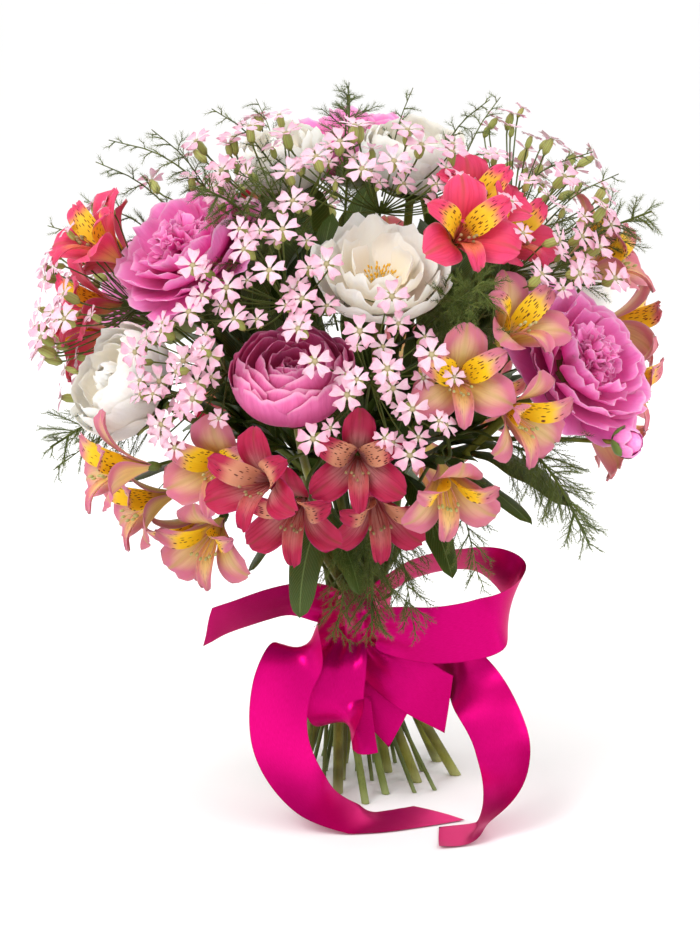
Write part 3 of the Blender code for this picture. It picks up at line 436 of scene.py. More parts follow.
class Skin:  # a new material, with what its pattern reads from the piece
    def __init__(self, name, roughness, soft=0.0, softRadius=(0.004, 0.002, 0.0015), specular=0.25):
        self.material = bpy.data.materials.new(name)
        self.material.use_nodes = True
        tree = self.tree = self.material.node_tree
        self.shader = tree.nodes["Principled BSDF"].inputs
        self.set({"Roughness": roughness, "Specular IOR Level": specular, "Subsurface Weight": soft,
                  "Subsurface Radius": softRadius, "Subsurface Scale": 1.0})
        self.uv = get(tree, "ShaderNodeUVMap", uv_map="tissue")
        self.across, self.along = (get(tree, "ShaderNodeSeparateXYZ", {0: self.uv}, k) for k in (0, 1))
        tint = self.attribute("tint", "Color")
        tones = (get(tree, "ShaderNodeSeparateColor", {0: tint}, k) for k in range(3))
        self.random, self.tone, self.blush = tones  # what a piece's tint attribute holds
        self.coords = get(tree, "ShaderNodeTexCoord", out="Object")

    def set(self, values):
        for label, value in values.items():
            fill(self.tree, self.shader[label], value)

    def attribute(self, name, out):
        return get(self.tree, "ShaderNodeAttribute", out=out, attribute_name=name, attribute_type="GEOMETRY")

    def crinkle(self, dents):
        made = addNode(self.tree, "ShaderNodeGroup", node_tree=tissueCrinkle)
        fill(self.tree, made.inputs["Vector"], self.coords)
        fill(self.tree, made.inputs["Dents"], dents)
        return Tone(made.outputs["Height"]), Tone(made.outputs["Mottle"])

    def relief(self, height, strength, depth=0.0006):
        bump = get(self.tree, "ShaderNodeBump", {"Strength": strength, "Distance": depth, "Height": height})
        self.set({"Normal": bump})

    def petal(self, lines, strength, dents=160.0):  # veins and crinkle, as relief and as masks
        veins = addNode(self.tree, "ShaderNodeGroup", node_tree=petalVeins)
        for label, value in dict(UV=self.uv, Lines=lines, Seed=self.random).items():
            fill(self.tree, veins.inputs[label], value)
        height, mottle = self.crinkle(dents)
        self.relief(Tone(veins.outputs["Height"]) * 0.35 + height, strength)
        return Tone(veins.outputs["Veins"]), mottle

    def paint(self, color, *layers):
        self.set({"Base Color": coats(color, *layers)})
        return self.material


def petalMaterial(name, look):
    skin = Skin(name, look["roughness"], look["soft"], look["softRadius"])
    veins, mottle = skin.petal(look["lines"], look["relief"])
    along = skin.along
    return skin.paint(
        look["foot"],
        (along.step(0.05, 0.55), look["middle"]),
        (along.step(0.45, 1.0), look["rim"]),
        # painted shade: inner layers take the heart colour towards their foot, partly the bloom's own deeper
        # heart and partly the shade in its depths
        (skin.tone * along.step(1.0, 0.35) * look["depth"], look["heart"]),
        (veins * look["veinShare"], look["vein"]),
        (mottle.step(0.35, 0.75, 0.0, 0.22), look["shade"]),
        (skin.random * look["vary"], look["rim"]),
        (along.step(0.90, 1.0) * look["edge"], look["pale"]),
        (skin.blush * along.step(0.9, 0.1) * 0.5, look["blush"]),
    )


# heart and depth: the deeper colour of a bloom's inner petals, partly their own colour and partly painted
# shade
petalLooks = {
    "pink": dict(
        foot=(0.82, 0.08, 0.36), middle=(0.92, 0.16, 0.49), rim=(0.95, 0.32, 0.63), heart=(0.74, 0.05, 0.28),
        shade=(0.86, 0.12, 0.43), vein=(0.82, 0.09, 0.39), pale=(0.96, 0.52, 0.78), blush=(0.74, 0.06, 0.34),
        veinShare=0.28, vary=0.35, edge=0.55, depth=0.75, lines=20.0, relief=0.35, roughness=0.6,
        soft=0.3, softRadius=(0.006, 0.0015, 0.003),
    ),
    "rose": dict(
        foot=(0.62, 0.035, 0.17), middle=(0.78, 0.085, 0.30), rim=(0.88, 0.19, 0.44),
        heart=(0.52, 0.008, 0.10), shade=(0.58, 0.05, 0.21), vein=(0.56, 0.035, 0.18),
        pale=(0.93, 0.50, 0.68), blush=(0.5, 0.02, 0.12),
        veinShare=0.30, vary=0.30, edge=0.6, depth=0.95, lines=20.0, relief=0.35, roughness=0.6,
        soft=0.2, softRadius=(0.006, 0.0012, 0.002),
    ),
    "white": dict(
        foot=(0.95, 0.84, 0.60), middle=(0.96, 0.91, 0.80), rim=(0.97, 0.94, 0.88), heart=(0.94, 0.80, 0.50),
        shade=(0.95, 0.88, 0.76), vein=(0.94, 0.86, 0.74), pale=(0.98, 0.97, 0.93), blush=(0.94, 0.70, 0.66),
        veinShare=0.25, vary=0.35, edge=0.5, depth=0.55, lines=18.0, relief=0.35, roughness=0.6,
        soft=0.35, softRadius=(0.006, 0.004, 0.0025),
    ),
}


def simpleMaterial(name, low, high, roughness, soft=0.0, dents=600.0, strength=0.2):  # two tones, mottled
    skin = Skin(name, roughness, soft)
    height, mottle = skin.crinkle(dents)
    skin.relief(height, strength, 0.0003)
    return skin.paint(low, (skin.tone + mottle.step(0.3, 0.7, -0.15, 0.15), high))


petalMaterials = {name: petalMaterial("petal_" + name, look) for name, look in petalLooks.items()}
stamenMaterial = simpleMaterial("stamen_yellow", (0.75, 0.62, 0.30), (0.85, 0.48, 0.03), 0.6)


# Petals: curved sheets in shares of a bloom's radius
def halfWidth(s, widest, base, tip, power=1.0, fall=2.4):  # share of the full width along a petal or leaf
    rising = base + (1 - base) * np.sin(math.pi / 2 * np.clip(s / widest, 0, 1)) ** power
    beyond = np.clip((s - widest) / (1 - widest), 0, 1)
    falling = tip + (1 - tip) * np.sqrt(np.clip(1 - beyond ** fall, 0, 1))
    return np.where(s < widest, rising, falling)


def turnedTo(matrix, turn, x, y, z):
    c, w = math.cos(math.radians(turn)), math.sin(math.radians(turn))
    return moved(matrix, np.stack([c * x - w * y, w * x + c * y, z], axis=2))


petalUsual = dict(rounding=0.16, notch=0.0, cleft=0.0, curl=0.0, widest=0.65, base=0.25, tip=0.5, hug=0.0,
                  ruffle=0.03, waves=5.0, lean=0.0)


def petalGrid(matrix, turn, petal, size, rng):
    p = {**petalUsual, **petal}
    rows, columns = size
    v = np.linspace(0, 1, rows)[:, None] ** 0.9
    u = np.linspace(-1, 1, columns)[None, :]
    phases = [rng.uniform(0, fullTurn) for _ in range(6)]
    ragged = 0.5 + 0.5 * np.sin(7 * u + phases[0]) * np.sin(4.3 * u + phases[1])
    ragged = ragged + 0.35 * np.abs(np.sin(13 * u + phases[2])) + 0.35 * np.abs(np.sin(29 * u + phases[3]))
    cleft = np.exp(-((u - rng.uniform(-0.35, 0.35)) / 0.09) ** 2)
    rim = p["rounding"] * np.abs(u) ** 2.2 + p["notch"] * ragged + p["cleft"] * cleft
    s = v * (1 - rim * v ** 1.5)
    start, end, curl = (math.radians(p[key]) for key in ("start", "end", "curl"))
    steps = np.linspace(0, 1, 60)
    angles = start + (end - start) * steps - curl * np.clip((steps - 0.68) / 0.32, 0, 1) ** 2
    length = p["bend"] * abs(end - start) / 59
    out, up = (p["foot"][k] + np.concatenate([[0], np.cumsum(way(angles[:-1]) * length)])
               for k, way in enumerate((np.cos, np.sin)))
    outAt, upAt, angle = (np.interp(s, steps, line) for line in (out, up, angles))
    side = u * p["width"] * halfWidth(s, p["widest"], p["base"], p["tip"])
    wrap = p["hug"] * np.abs(outAt) + (1 - p["hug"]) * p.get("wrap", 0.9 * p["bend"])
    wrap = np.maximum(wrap, 0.42 * p["width"])
    waves = np.sin(p["waves"] * u + phases[4]) + 0.45 * np.sin(2.7 * p["waves"] * u + phases[5])
    wave = p["ruffle"] * s ** 2.5 * waves + 0.012 * s * np.sin(9 * s + 5 * u + phases[2])
    x = outAt - wrap * (1 - np.cos(side / wrap)) + wave * np.sin(angle)
    y = wrap * np.sin(side / wrap) + p["lean"] * s * s
    return turnedTo(matrix, turn, x, y, upAt - wave * np.cos(angle))


# Layers of petals from the middle outwards, then what only some layers have
# depth: how much of the heart colour, partly painted shade, a layer's petals take
layerKeys = ("count", "foot", "bend", "start", "end", "width", "hug", "notch", "depth", "jitter", "ruffle")
bloomForms = {
    "globe": [
        (4, (0.06, -0.16), 0.37, 36, 152, 0.30, 0.4, 0.10, 1.0, 14, 0.05, {}),
        (4, (0.20, -0.30), 0.44, 10, 140, 0.40, 0.6, 0.08, 0.9, 8, 0.05, {}),
        (5, (0.28, -0.42), 0.52, 5, 144, 0.50, 0.7, 0.07, 0.6, 8, 0.04, {}),
        (5, (0.29, -0.50), 0.59, 2, 134, 0.56, 0.7, 0.06, 0.3, 6, 0.04, {}),
        (5, (0.30, -0.56), 0.64, 0, 120, 0.60, 0.6, 0.05, 0.1, 5, 0.035, dict(cleft=0.08, turn=26.6)),
        (3, (0.26, -0.60), 0.68, -4, 92, 0.56, 0.5, 0.05, 0.0, 10, 0.05, dict(curl=10)),
    ],
    "cup": [
        (3, (-0.02, -0.05), 0.36, 84, 120, 0.16, 0.0, 0.06, 1.0, 20, 0.03, dict(wrap=0.12)),
        (4, (0.04, -0.12), 0.42, 74, 122, 0.22, 0.0, 0.07, 1.0, 16, 0.04, dict(wrap=0.20)),
        (5, (0.14, -0.20), 0.46, 60, 128, 0.28, 0.0, 0.06, 1.0, 12, 0.04, dict(wrap=0.30)),
        (5, (0.22, -0.28), 0.49, 42, 134, 0.36, 0.0, 0.06, 0.9, 10, 0.035, dict(wrap=0.40)),
        (5, (0.28, -0.34), 0.51, 26, 140, 0.44, 0.7, 0.05, 0.75, 9, 0.03, {}),
        (5, (0.31, -0.40), 0.545, 12, 140, 0.50, 0.8, 0.045, 0.55, 8, 0.03, {}),
        (5, (0.31, -0.46), 0.59, 4, 132, 0.58, 0.8, 0.035, 0.3, 6, 0.025, dict(cleft=0.04)),
        (5, (0.30, -0.50), 0.635, 0, 124, 0.66, 0.8, 0.025, 0.12, 5, 0.02, dict(cleft=0.06, rounding=0.22)),
        (5, (0.30, -0.53), 0.665, -2, 112, 0.66, 0.7, 0.02, 0.0, 4, 0.02,
         dict(cleft=0.05, curl=14, rounding=0.24, turn=26.6, vary=8)),
    ],
    "ruffled": [
        (6, (0.26, -0.06), 0.50, 24, 104, 0.30, 0.4, 0.12, 0.7, 14, 0.07, {}),
        (6, (0.28, -0.12), 0.60, 16, 90, 0.36, 0.4, 0.10, 0.5, 14, 0.07, dict(curl=6)),
        (6, (0.30, -0.20), 0.72, 8, 78, 0.46, 0.4, 0.06, 0.25, 12, 0.05, dict(curl=10, vary=12)),
        (6, (0.30, -0.26), 0.82, 0, 62, 0.54, 0.3, 0.035, 0.08, 6, 0.045,
         dict(cleft=0.10, curl=10, turn=22.2, vary=8)),
        (5, (0.28, -0.32), 1.12, -10, 36, 0.56, 0.2, 0.03, 0.0, 14, 0.05, dict(cleft=0.08, curl=14, vary=8)),
    ],
    "open": [
        (3, (0.20, -0.28), 0.44, 30, 118, 0.36, 0.5, 0.16, 0.8, 16, 0.05, dict(cleft=0.12)),
        (4, (0.22, -0.34), 0.53, 14, 116, 0.46, 0.6, 0.18, 0.5, 12, 0.05, dict(cleft=0.16)),
        (5, (0.24, -0.44), 0.65, 2, 108, 0.58, 0.6, 0.16, 0.2, 8, 0.045, dict(cleft=0.18)),
        (5, (0.24, -0.52), 0.74, -4, 100, 0.64, 0.6, 0.13, 0.0, 6, 0.045,
         dict(cleft=0.18, curl=8, turn=26.6, vary=6)),
    ],
}
ruffles = dict(count=72, inner=0.14, spread=0.80)
rufflePetal = dict(foot=(0.02, 0.0), start=70, width=0.16, widest=0.75, base=0.35, tip=0.6, notch=0.16,
                   cleft=0.2, ruffle=0.05, waves=6.0, wrap=0.16, rounding=0.1)
anthers = dict(filaments=46, length=0.30, spread=0.24, base=-0.40)


def addBloom(grids, node, form, matrix):
    rng = random.Random(node)
    layers = [dict(zip(layerKeys, row), **row[-1]) for row in bloomForms[form]]
    for order, layer in enumerate(layers):
        start = layer.get("turn", rng.uniform(0, 360))
        outer = order >= len(layers) - 2
        for k in range(layer["count"]):
            turn = start + 360 / layer["count"] * k + rng.uniform(-1, 1) * layer["jitter"]
            petal = dict(layer)
            petal["end"] = layer["end"] + rng.uniform(-1, 1) * layer.get("vary", 0.6 * layer["jitter"])
            petal["width"] = layer["width"] * rng.uniform(0.88, 1.10)
            petal["bend"] = layer["bend"] * rng.uniform(0.95, 1.03)
            petal["lean"] = rng.uniform(-0.05, 0.05)
            grid = petalGrid(matrix, turn, petal, (15, 15) if outer else (9, 9), rng)
            blush = rng.uniform(0, 1) if outer else 0.2
            # the tint's second value carries the layer's depth, for the painted shade of the heart
            grids.sheet(grid, 0.00045, (rng.uniform(0, 1), layer["depth"], blush))
    if form == "ruffled":
        addRuffles(grids, matrix, rng)


def addRuffles(grids, matrix, rng):  # the crowded small petals in the middle of a bloom
    for k in range(ruffles["count"]):
        away = math.acos(1 - (k + 0.5) / ruffles["count"] * ruffles["spread"])
        turn = k * golden + rng.uniform(-0.3, 0.3)
        direction = Vector((math.sin(away) * math.cos(turn), math.sin(away) * math.sin(turn), math.cos(away)))
        tilt = direction + scattered(rng, 0.28)
        swing = Matrix.Rotation(rng.uniform(0, fullTurn), 4, "Z")
        spot = matrix @ poseAt(direction * ruffles["inner"], tilt) @ swing
        petal = dict(rufflePetal, end=70 + rng.uniform(28, 48), lean=rng.uniform(-0.06, 0.06))
        petal["bend"] = 0.62 * (rng.uniform(0.8, 1.05) * (0.90 + 0.10 * math.cos(away)))
        grid = petalGrid(spot, 0, petal, (8, 7), rng)
        # the middle petals take a share of the heart colour, partly painted shade
        grids.sheet(grid, 0.0004, (rng.uniform(0, 1), rng.uniform(0.2, 0.8), 0.0))


def addStamens(pods, lines, matrix, rng):  # yellow stamens in the middle of an open bloom
    for k in range(anthers["filaments"]):
        out = anthers["spread"] * math.sqrt((k + 0.5) / anthers["filaments"])
        flat = out * Vector((math.cos(k * golden), math.sin(k * golden), 0))
        foot = 0.4 * flat + Vector((0, 0, anthers["base"]))
        tip = flat + Vector((0, 0, anthers["base"] + anthers["length"])) + scattered(rng, 0.03)
        path = [matrix @ p for p in (foot, foot.lerp(tip, 0.5) + Vector((0, 0, 0.03)), tip)]
        lines.append((path, [0.00025, 0.0002, 0.0002], (0.4, 0.0, 0.0)))
        profile = [(0.0002, -0.0010), (0.0006, -0.0003), (0.0006, 0.0008), (0.0001, 0.0014)]
        pods.turned(poseAt(path[-1], path[-1] - path[-2]), profile, 5, (0.9, 1.0, 0.0))


# Geometry Nodes trees: stalks swept along lines, and small pieces set on points
def namedValue(tree, label, kind):
    return get(tree, "GeometryNodeInputNamedAttribute", {"Name": label}, "Attribute", data_type=kind)


def growTree(name, takes):
    return newTree(name, "GeometryNodeTree", [("Geometry", "Geometry"), *takes], [("Geometry", "Geometry")])


def finishTree(tree, take, give, shape):
    done = get(tree, "GeometryNodeSetMaterial", {"Geometry": shape, "Material": take["Material"]})
    fill(tree, give["Geometry"], done)
    return tree


def buildSweep():  # round stalks with closed ends along every line of a mesh of edges
    tree, take, give = growTree("sweptStalks", [("Sides", "Int", 6), ("Material", "Material")])
    thick = namedValue(tree, "thick", "FLOAT")
    curve = get(tree, "GeometryNodeMeshToCurve", {"Mesh": take["Geometry"]})
    curve = get(tree, "GeometryNodeSetCurveRadius", {"Curve": curve, "Radius": thick})
    ring = get(tree, "GeometryNodeCurvePrimitiveCircle", {"Resolution": take["Sides"], "Radius": 1.0})
    inputs = {"Curve": curve, "Profile Curve": ring, "Fill Caps": True}
    swept = addNode(tree, "GeometryNodeCurveToMesh", inputs)
    if "Scale" in swept.inputs:
        fill(tree, swept.inputs["Scale"], thick)
    real = get(tree, "GeometryNodeRealizeInstances", {"Geometry": Tone(swept.outputs[0])})
    return finishTree(tree, take, give, get(tree, "GeometryNodeSetShadeSmooth", {"Geometry": real}))


def buildScatter():  # one of several small pieces on every point, turned and sized by the point
    tree, take, give = growTree("scatteredPieces", [("Pieces", "Collection"), ("Material", "Material")])
    pieces = get(tree, "GeometryNodeCollectionInfo", {
        "Collection": take["Pieces"], "Separate Children": True, "Reset Children": True})
    held = get(tree, "GeometryNodeInstanceOnPoints", {
        "Points": take["Geometry"], "Instance": pieces, "Pick Instance": True,
        "Instance Index": namedValue(tree, "kind", "INT"), "Rotation": namedValue(tree, "turn", "QUATERNION"),
        "Scale": namedValue(tree, "size", "FLOAT_VECTOR")})
    return finishTree(tree, take, give, get(tree, "GeometryNodeRealizeInstances", {"Geometry": held}))


sweepTree = buildSweep()
scatterTree = buildScatter()


def grow(name, mesh, tree, **values):  # run a tree on a mesh and keep what it makes as a plain mesh
    item = link(name, mesh)
    modifier = item.modifiers.new("grow", "NODES")
    modifier.node_group = tree
    for socket in tree.interface.items_tree:
        if socket.in_out == "INPUT" and socket.name in values:
            modifier[socket.identifier] = values[socket.name]
    bpy.context.view_layer.update()
    made = bpy.data.meshes.new_from_object(item.evaluated_get(bpy.context.evaluated_depsgraph_get()))
    made.name = name
    item.modifiers.clear()
    item.data = made
    bpy.data.meshes.remove(mesh)
    return item


def mark(mesh, name, kind, field, values):  # an attribute on a mesh's points
    mesh.attributes.new(name, kind, "POINT").data.foreach_set(field, np.ravel(values))


def sweep(name, lines, sides, material):  # lines: points, a radius at each, and a tint
    points, edges, thick, tints = [], [], [], []
    for line, radii, tint in lines:
        edges += [(len(points) + i, len(points) + i + 1) for i in range(len(line) - 1)]
        points += [tuple(p) for p in line]
        thick += list(radii)
        tints += [(*tint, 1.0)] * len(line)
    mesh = bpy.data.meshes.new(name)
    mesh.from_pydata(points, edges, [])
    mark(mesh, "thick", "FLOAT", "value", thick)
    mark(mesh, "tint", "FLOAT_COLOR", "color", tints)
    return grow(name, mesh, sweepTree, Sides=sides, Material=material)


def scatter(name, spots, pieces, material):  # spots: matrix, size three ways, kind, shade
    mesh = bpy.data.meshes.new(name)
    matrices, sizes, kinds, shades = zip(*spots)
    mesh.from_pydata([tuple(m.translation) for m in matrices], [], [])
    mark(mesh, "turn", "QUATERNION", "value", [tuple(m.to_quaternion()) for m in matrices])
    mark(mesh, "size", "FLOAT_VECTOR", "vector", sizes)
    mark(mesh, "kind", "INT", "value", kinds)
    mark(mesh, "shade", "FLOAT", "value", shades)
    return grow(name, mesh, scatterTree, Pieces=pieces, Material=material)


def asPieces(name, meshes):  # a hidden collection of template pieces
    group = bpy.data.collections.new(name)
    for i, mesh in enumerate(meshes):
        group.objects.link(bpy.data.objects.new(name + "_%02d" % i, mesh))
    return group


def dropPieces(group):
    for item in list(group.objects):
        mesh = item.data
        bpy.data.objects.remove(item)
        bpy.data.meshes.remove(mesh)
    bpy.data.collections.remove(group)


def cutLevel(item):  # cut a piece level where it stands and close the cut
    bm = bmesh.new()
    bm.from_mesh(item.data)
    whole = bm.verts[:] + bm.edges[:] + bm.faces[:]
    bmesh.ops.bisect_plane(bm, geom=whole, plane_co=(0, 0, 0.0001), plane_no=(0, 0, 1), clear_inner=True)
    bmesh.ops.holes_fill(bm, edges=[e for e in bm.edges if e.is_boundary], sides=0)
    bm.to_mesh(item.data)
    bm.free()
    return item


for node, (at, faces, radius, form) in peonies.items():
    grids = Grids()
    matrix = bloomPose(at, faces, radius)
    addBloom(grids, node, form, matrix)
    tone = "white" if "white" in node else ("rose" if node == "peony_pink_front" else "pink")
    bloom = grids.object(node.replace("peony", "bloom"), petalMaterials[tone])
    place(bloom, "petal_white" if tone == "white" else "petal_pink", node)
    if form == "open" or node == "peony_white_back":
        pods, lines = Grids(), []
        addStamens(pods, lines, matrix, random.Random(node + "stamens"))
        place(pods.object(node.replace("peony", "anthers"), stamenMaterial), "petal_yellow")
        place(sweep(node.replace("peony", "filaments"), lines, 4, stamenMaterial), "petal_yellow")
    print(node, len(bloom.data.polygons), "faces")

# Stems: each one's own way through the tie, found again on its CAD node
ways = {}  # the fine way of each stem
tieRadius = 0.0  # of all the stems together


def stemNode(node):
    if node.startswith(("spray", "fern")):
        return node
    kind, rest = node.split("_", 1)
    return kind + "_stem_" + rest


def findCrossing(node):
    foot = [v.co for v in cadNodes[stemNode(node)].data.vertices if abs(v.co.z) < 2e-5]
    middle = sum(foot, Vector()) / len(foot)
    swing = bouquet["twist"] * bouquet["tieHeight"]
    share = 1 + swing * swing
    return Vector(((middle.x + swing * middle.y) / share, (middle.y - swing * middle.x) / share))


def leanPoint(crossing, height):
    step = bouquet["twist"] * (height - bouquet["tieHeight"])
    return Vector((crossing.x + step * crossing.y, crossing.y - step * crossing.x, height))


def findWay(node, crossing, end, direction, radius):
    rng = random.Random(bouquet["seed"])
    tie = bouquet["tieHeight"]
    low = [leanPoint(crossing, h) for h in (-0.012, tie - 0.020, tie + 0.010)]
    rise = (low[2] - low[1]).normalized()
    reach = (end - low[2]).length

    def bends():
        for attempt in range(160):
            spread = min(1.0, attempt / 60)
            out = 0.42 + spread * rng.uniform(-0.22, 0.30)
            back = 0.34 + spread * rng.uniform(-0.20, 0.22)
            arrive = (direction + scattered(rng, 1) * spread * 0.5).normalized() * back * reach
            yield interpolate_bezier(low[2], low[2] + rise * out * reach, end - arrive, end, 30)

    def missOf(bend):  # the faces of a six-sided CAD stem lie 0.87 of its radius from its middle
        return sum(abs(distance(stemNode(node), [p]) - 0.87 * radius) for p in bend[4:-2:3])

    miss, bend = nearest(bends(), missOf)
    ways[node] = [leanPoint(crossing, h) for h in (-0.012, 0.030, 0.070)] + low[1:2] + bend
    return miss / 8  # a mean, as eight places of a bend are measured


def hubLook(hub):  # the way an umbel's stem points
    return heading(hub[0], hub[1] * 0.4 + 20)


def stemEnds():  # where each stem meets its head, its direction there and its kind
    gap = bouquet["gap"]
    for node, (at, faces, radius, form) in peonies.items():
        look = heading(*faces)
        under = poseAt(onDome(*at), look) @ Vector((0, 0, underside[form] * radius))
        yield node, under - look * 2 * gap, look, "peony"
    for node, (hub, _) in umbels.items():
        away = hubLook(hub)
        yield node, onDome(*hub) - away * (bouquet["hub"] + gap), away, "alstro"
    for node, ((azimuth, elevation, reach), *_) in sprays.items():
        yield node, onDome(azimuth, elevation, reach - 0.050), heading(azimuth, elevation * 0.5 + 25), "spray"
    for node, ((azimuth, elevation, reach), _) in fronds.items():
        end = onDome(azimuth, elevation * 0.8, reach * 0.62)
        yield node, end, heading(azimuth, max(elevation, -20)), "fern"


worst = 0
for node, end, look, kind in stemEnds():
    crossing = findCrossing(node)
    tieRadius = max(tieRadius, crossing.length + stemRadius[kind])
    miss = findWay(node, crossing, end, look, stemRadius[kind])
    worst = max(worst, miss)
    if miss > 0.0006:
        print("way of", node, "off by", round(miss * 1000, 2), "mm")
print("stems found, tie", round(tieRadius * 2000, 1), "mm, worst", round(worst * 1000, 2), "mm")


def stemMaterial(name, look):
    skin = Skin(name, look["roughness"], 0.05)
    stretched = get(skin.tree, "ShaderNodeMapping", {"Vector": skin.coords, "Scale": (900, 900, 60)})
    grain = noise(skin.tree, stretched, 1.0, 3.0)
    height = get(skin.tree, "ShaderNodeSeparateXYZ", {0: skin.coords}, 2)
    skin.relief(grain, 0.35, 0.0004)
    return skin.paint(
        look["dark"],
        (noise(skin.tree, skin.coords, 45.0, 2.0).step(0.35, 0.65), look["light"]),
        (grain.step(0.45, 0.75, 0.0, 0.35), look["streak"]),
        (height.step(0.012, 0.0, 0.0, 0.55), look["cut"]),
        (skin.tone * look["flushShare"], look["flush"]),
    )


stemLooks = {
    "peony": dict(dark=(0.09, 0.095, 0.012), light=(0.22, 0.235, 0.03), streak=(0.06, 0.06, 0.01),
                  cut=(0.42, 0.44, 0.18), flush=(0.22, 0.09, 0.05), flushShare=0.25, roughness=0.42),
    "alstro": dict(dark=(0.06, 0.095, 0.012), light=(0.13, 0.17, 0.025), streak=(0.035, 0.05, 0.008),
                   cut=(0.36, 0.42, 0.16), flush=(0.20, 0.16, 0.06), flushShare=0.3, roughness=0.45),
    "thin": dict(dark=(0.045, 0.07, 0.01), light=(0.10, 0.13, 0.02), streak=(0.025, 0.04, 0.006),
                 cut=(0.30, 0.36, 0.14), flush=(0.2, 0.2, 0.06), flushShare=0.2, roughness=0.5),
}
stemMaterials = {name: stemMaterial("stem_" + name, look) for name, look in stemLooks.items()}


def aboveSurface(points, count):  # a stem's way from where it stands
    line = smoothPath(points, count)
    above = [p for p in line if p.z > 0.0]
    below = [p for p in line if p.z <= 0.0]
    if below:
        a, b = below[-1], above[0]
        above.insert(0, a.lerp(b, -a.z / (b.z - a.z)))
    return above


def stemRadii(node, count, radius):  # a slight swelling at each joint, narrower towards the head
    rng = random.Random(node + "radius")
    joints = [rng.uniform(0.1, 0.9) for _ in range(3)]
    shares = [i / (count - 1) for i in range(count)]
    swells = [sum(0.12 * math.exp(-((s - j) / 0.012) ** 2) for j in joints) for s in shares]
    return [radius * (1.02 - 0.22 * s + swell) for s, swell in zip(shares, swells)]


for node in [*peonies, *umbels]:
    kind = "peony" if node in peonies else "alstro"
    name = stemNode(node)
    points = aboveSurface(ways[node], 70)
    radii = stemRadii(node, len(points), stemRadius[kind])
    points.insert(0, points[0] + (points[0] - points[1]).normalized() * 0.006)
    line = (points, [radii[0], *radii], (random.Random(node).uniform(0, 1), 0.2, 0))
    stalk = sweep(name.replace("_stem_", "_stalk_"), [line], 14, stemMaterials[kind])
    place(cutLevel(stalk), "stem_green", name)
print("stems done")

# Alstroemerias: six separate tepals round a throat, the inner ones marked, with bent stamens
flower = dict(
    depth=0.030,
    radius=0.030,
    thickness=0.0005,
    filament=[0.00045, 0.00042, 0.0004, 0.00036, 0.00034, 0.0003, 0.00026],
    anther=[(0.0003, -0.0014), (0.0008, -0.0009), (0.0010, 0.0), (0.0008, 0.0011), (0.0002, 0.0018)],
    ovary=[(0.0010, -0.0065), (0.0024, -0.0045), (0.0030, -0.0015), (0.0026, 0.0015), (0.0014, 0.0030)],
    hub=[(0.0018, -0.0036), (0.0032, -0.0015), (0.0034, 0.0010), (0.0020, 0.0032)],
)
# A tepal's path runs from its foot: distance from the axis, and height
outerPath = [(0.0015, -0.029), (0.0060, -0.017), (0.0145, -0.005), (0.0252, 0.0020), (0.0348, 0.0020)]
innerPath = [(0.0012, -0.029), (0.0045, -0.016), (0.0105, -0.0025), (0.0195, 0.0050), (0.0305, 0.0060)]
outerTepal = dict(widest=0.66, notch=0.05, point=0.03, hollow=0.16, base=0.16, tip=0.30)
innerTepal = dict(widest=0.62, point=0.10, hollow=0.30, base=0.16, tip=0.16, rounding=0.05)
tepalUsual = dict(size=(13, 9), rounding=0.14, notch=0.0, power=1.6)


def tepalGrid(matrix, turn, tepal, rng):
    t = {**tepalUsual, **tepal}
    v = np.linspace(0, 1, t["size"][0])[:, None] ** 0.9
    u = np.linspace(-1, 1, t["size"][1])[None, :]
    steps = np.linspace(0, 1, 80)
    points = smoothPath([(out, 0, up) for out, up in t["path"]], 40)
    outs, ups = (np.interp(steps, np.linspace(0, 1, 40), [p[k] for p in points]) for k in (0, 2))
    phase = rng.uniform(0, fullTurn)
    rim = t["rounding"] * np.abs(u) ** 2.2 - t["point"] * np.exp(-(u / 0.16) ** 2)
    rim = rim + t["notch"] * np.exp(-(u / 0.10) ** 2) + 0.012 * np.abs(np.sin(8 * u + phase))
    s = np.clip(v * (1 - rim * v ** 1.6), 0, 1)
    outAt, upAt = np.interp(s, steps, outs), np.interp(s, steps, ups)
    half = t["width"] / 2 * halfWidth(s, t["widest"], t["base"], t["tip"], t["power"], 2.1)
    side = u * half
    wave = 0.0006 * s * np.sin(5 * u + phase) + 0.0010 * s ** 3 * np.sin(9 * u + 2 * phase)
    slope, run = np.gradient(upAt, axis=0), np.gradient(outAt, axis=0)
    lift = t["hollow"] * side ** 2 / np.maximum(half, 0.002) + wave
    lift = lift / np.maximum(np.hypot(slope, run), 1e-9)
    return turnedTo(matrix, turn, outAt - slope * lift, side, upAt + run * lift)


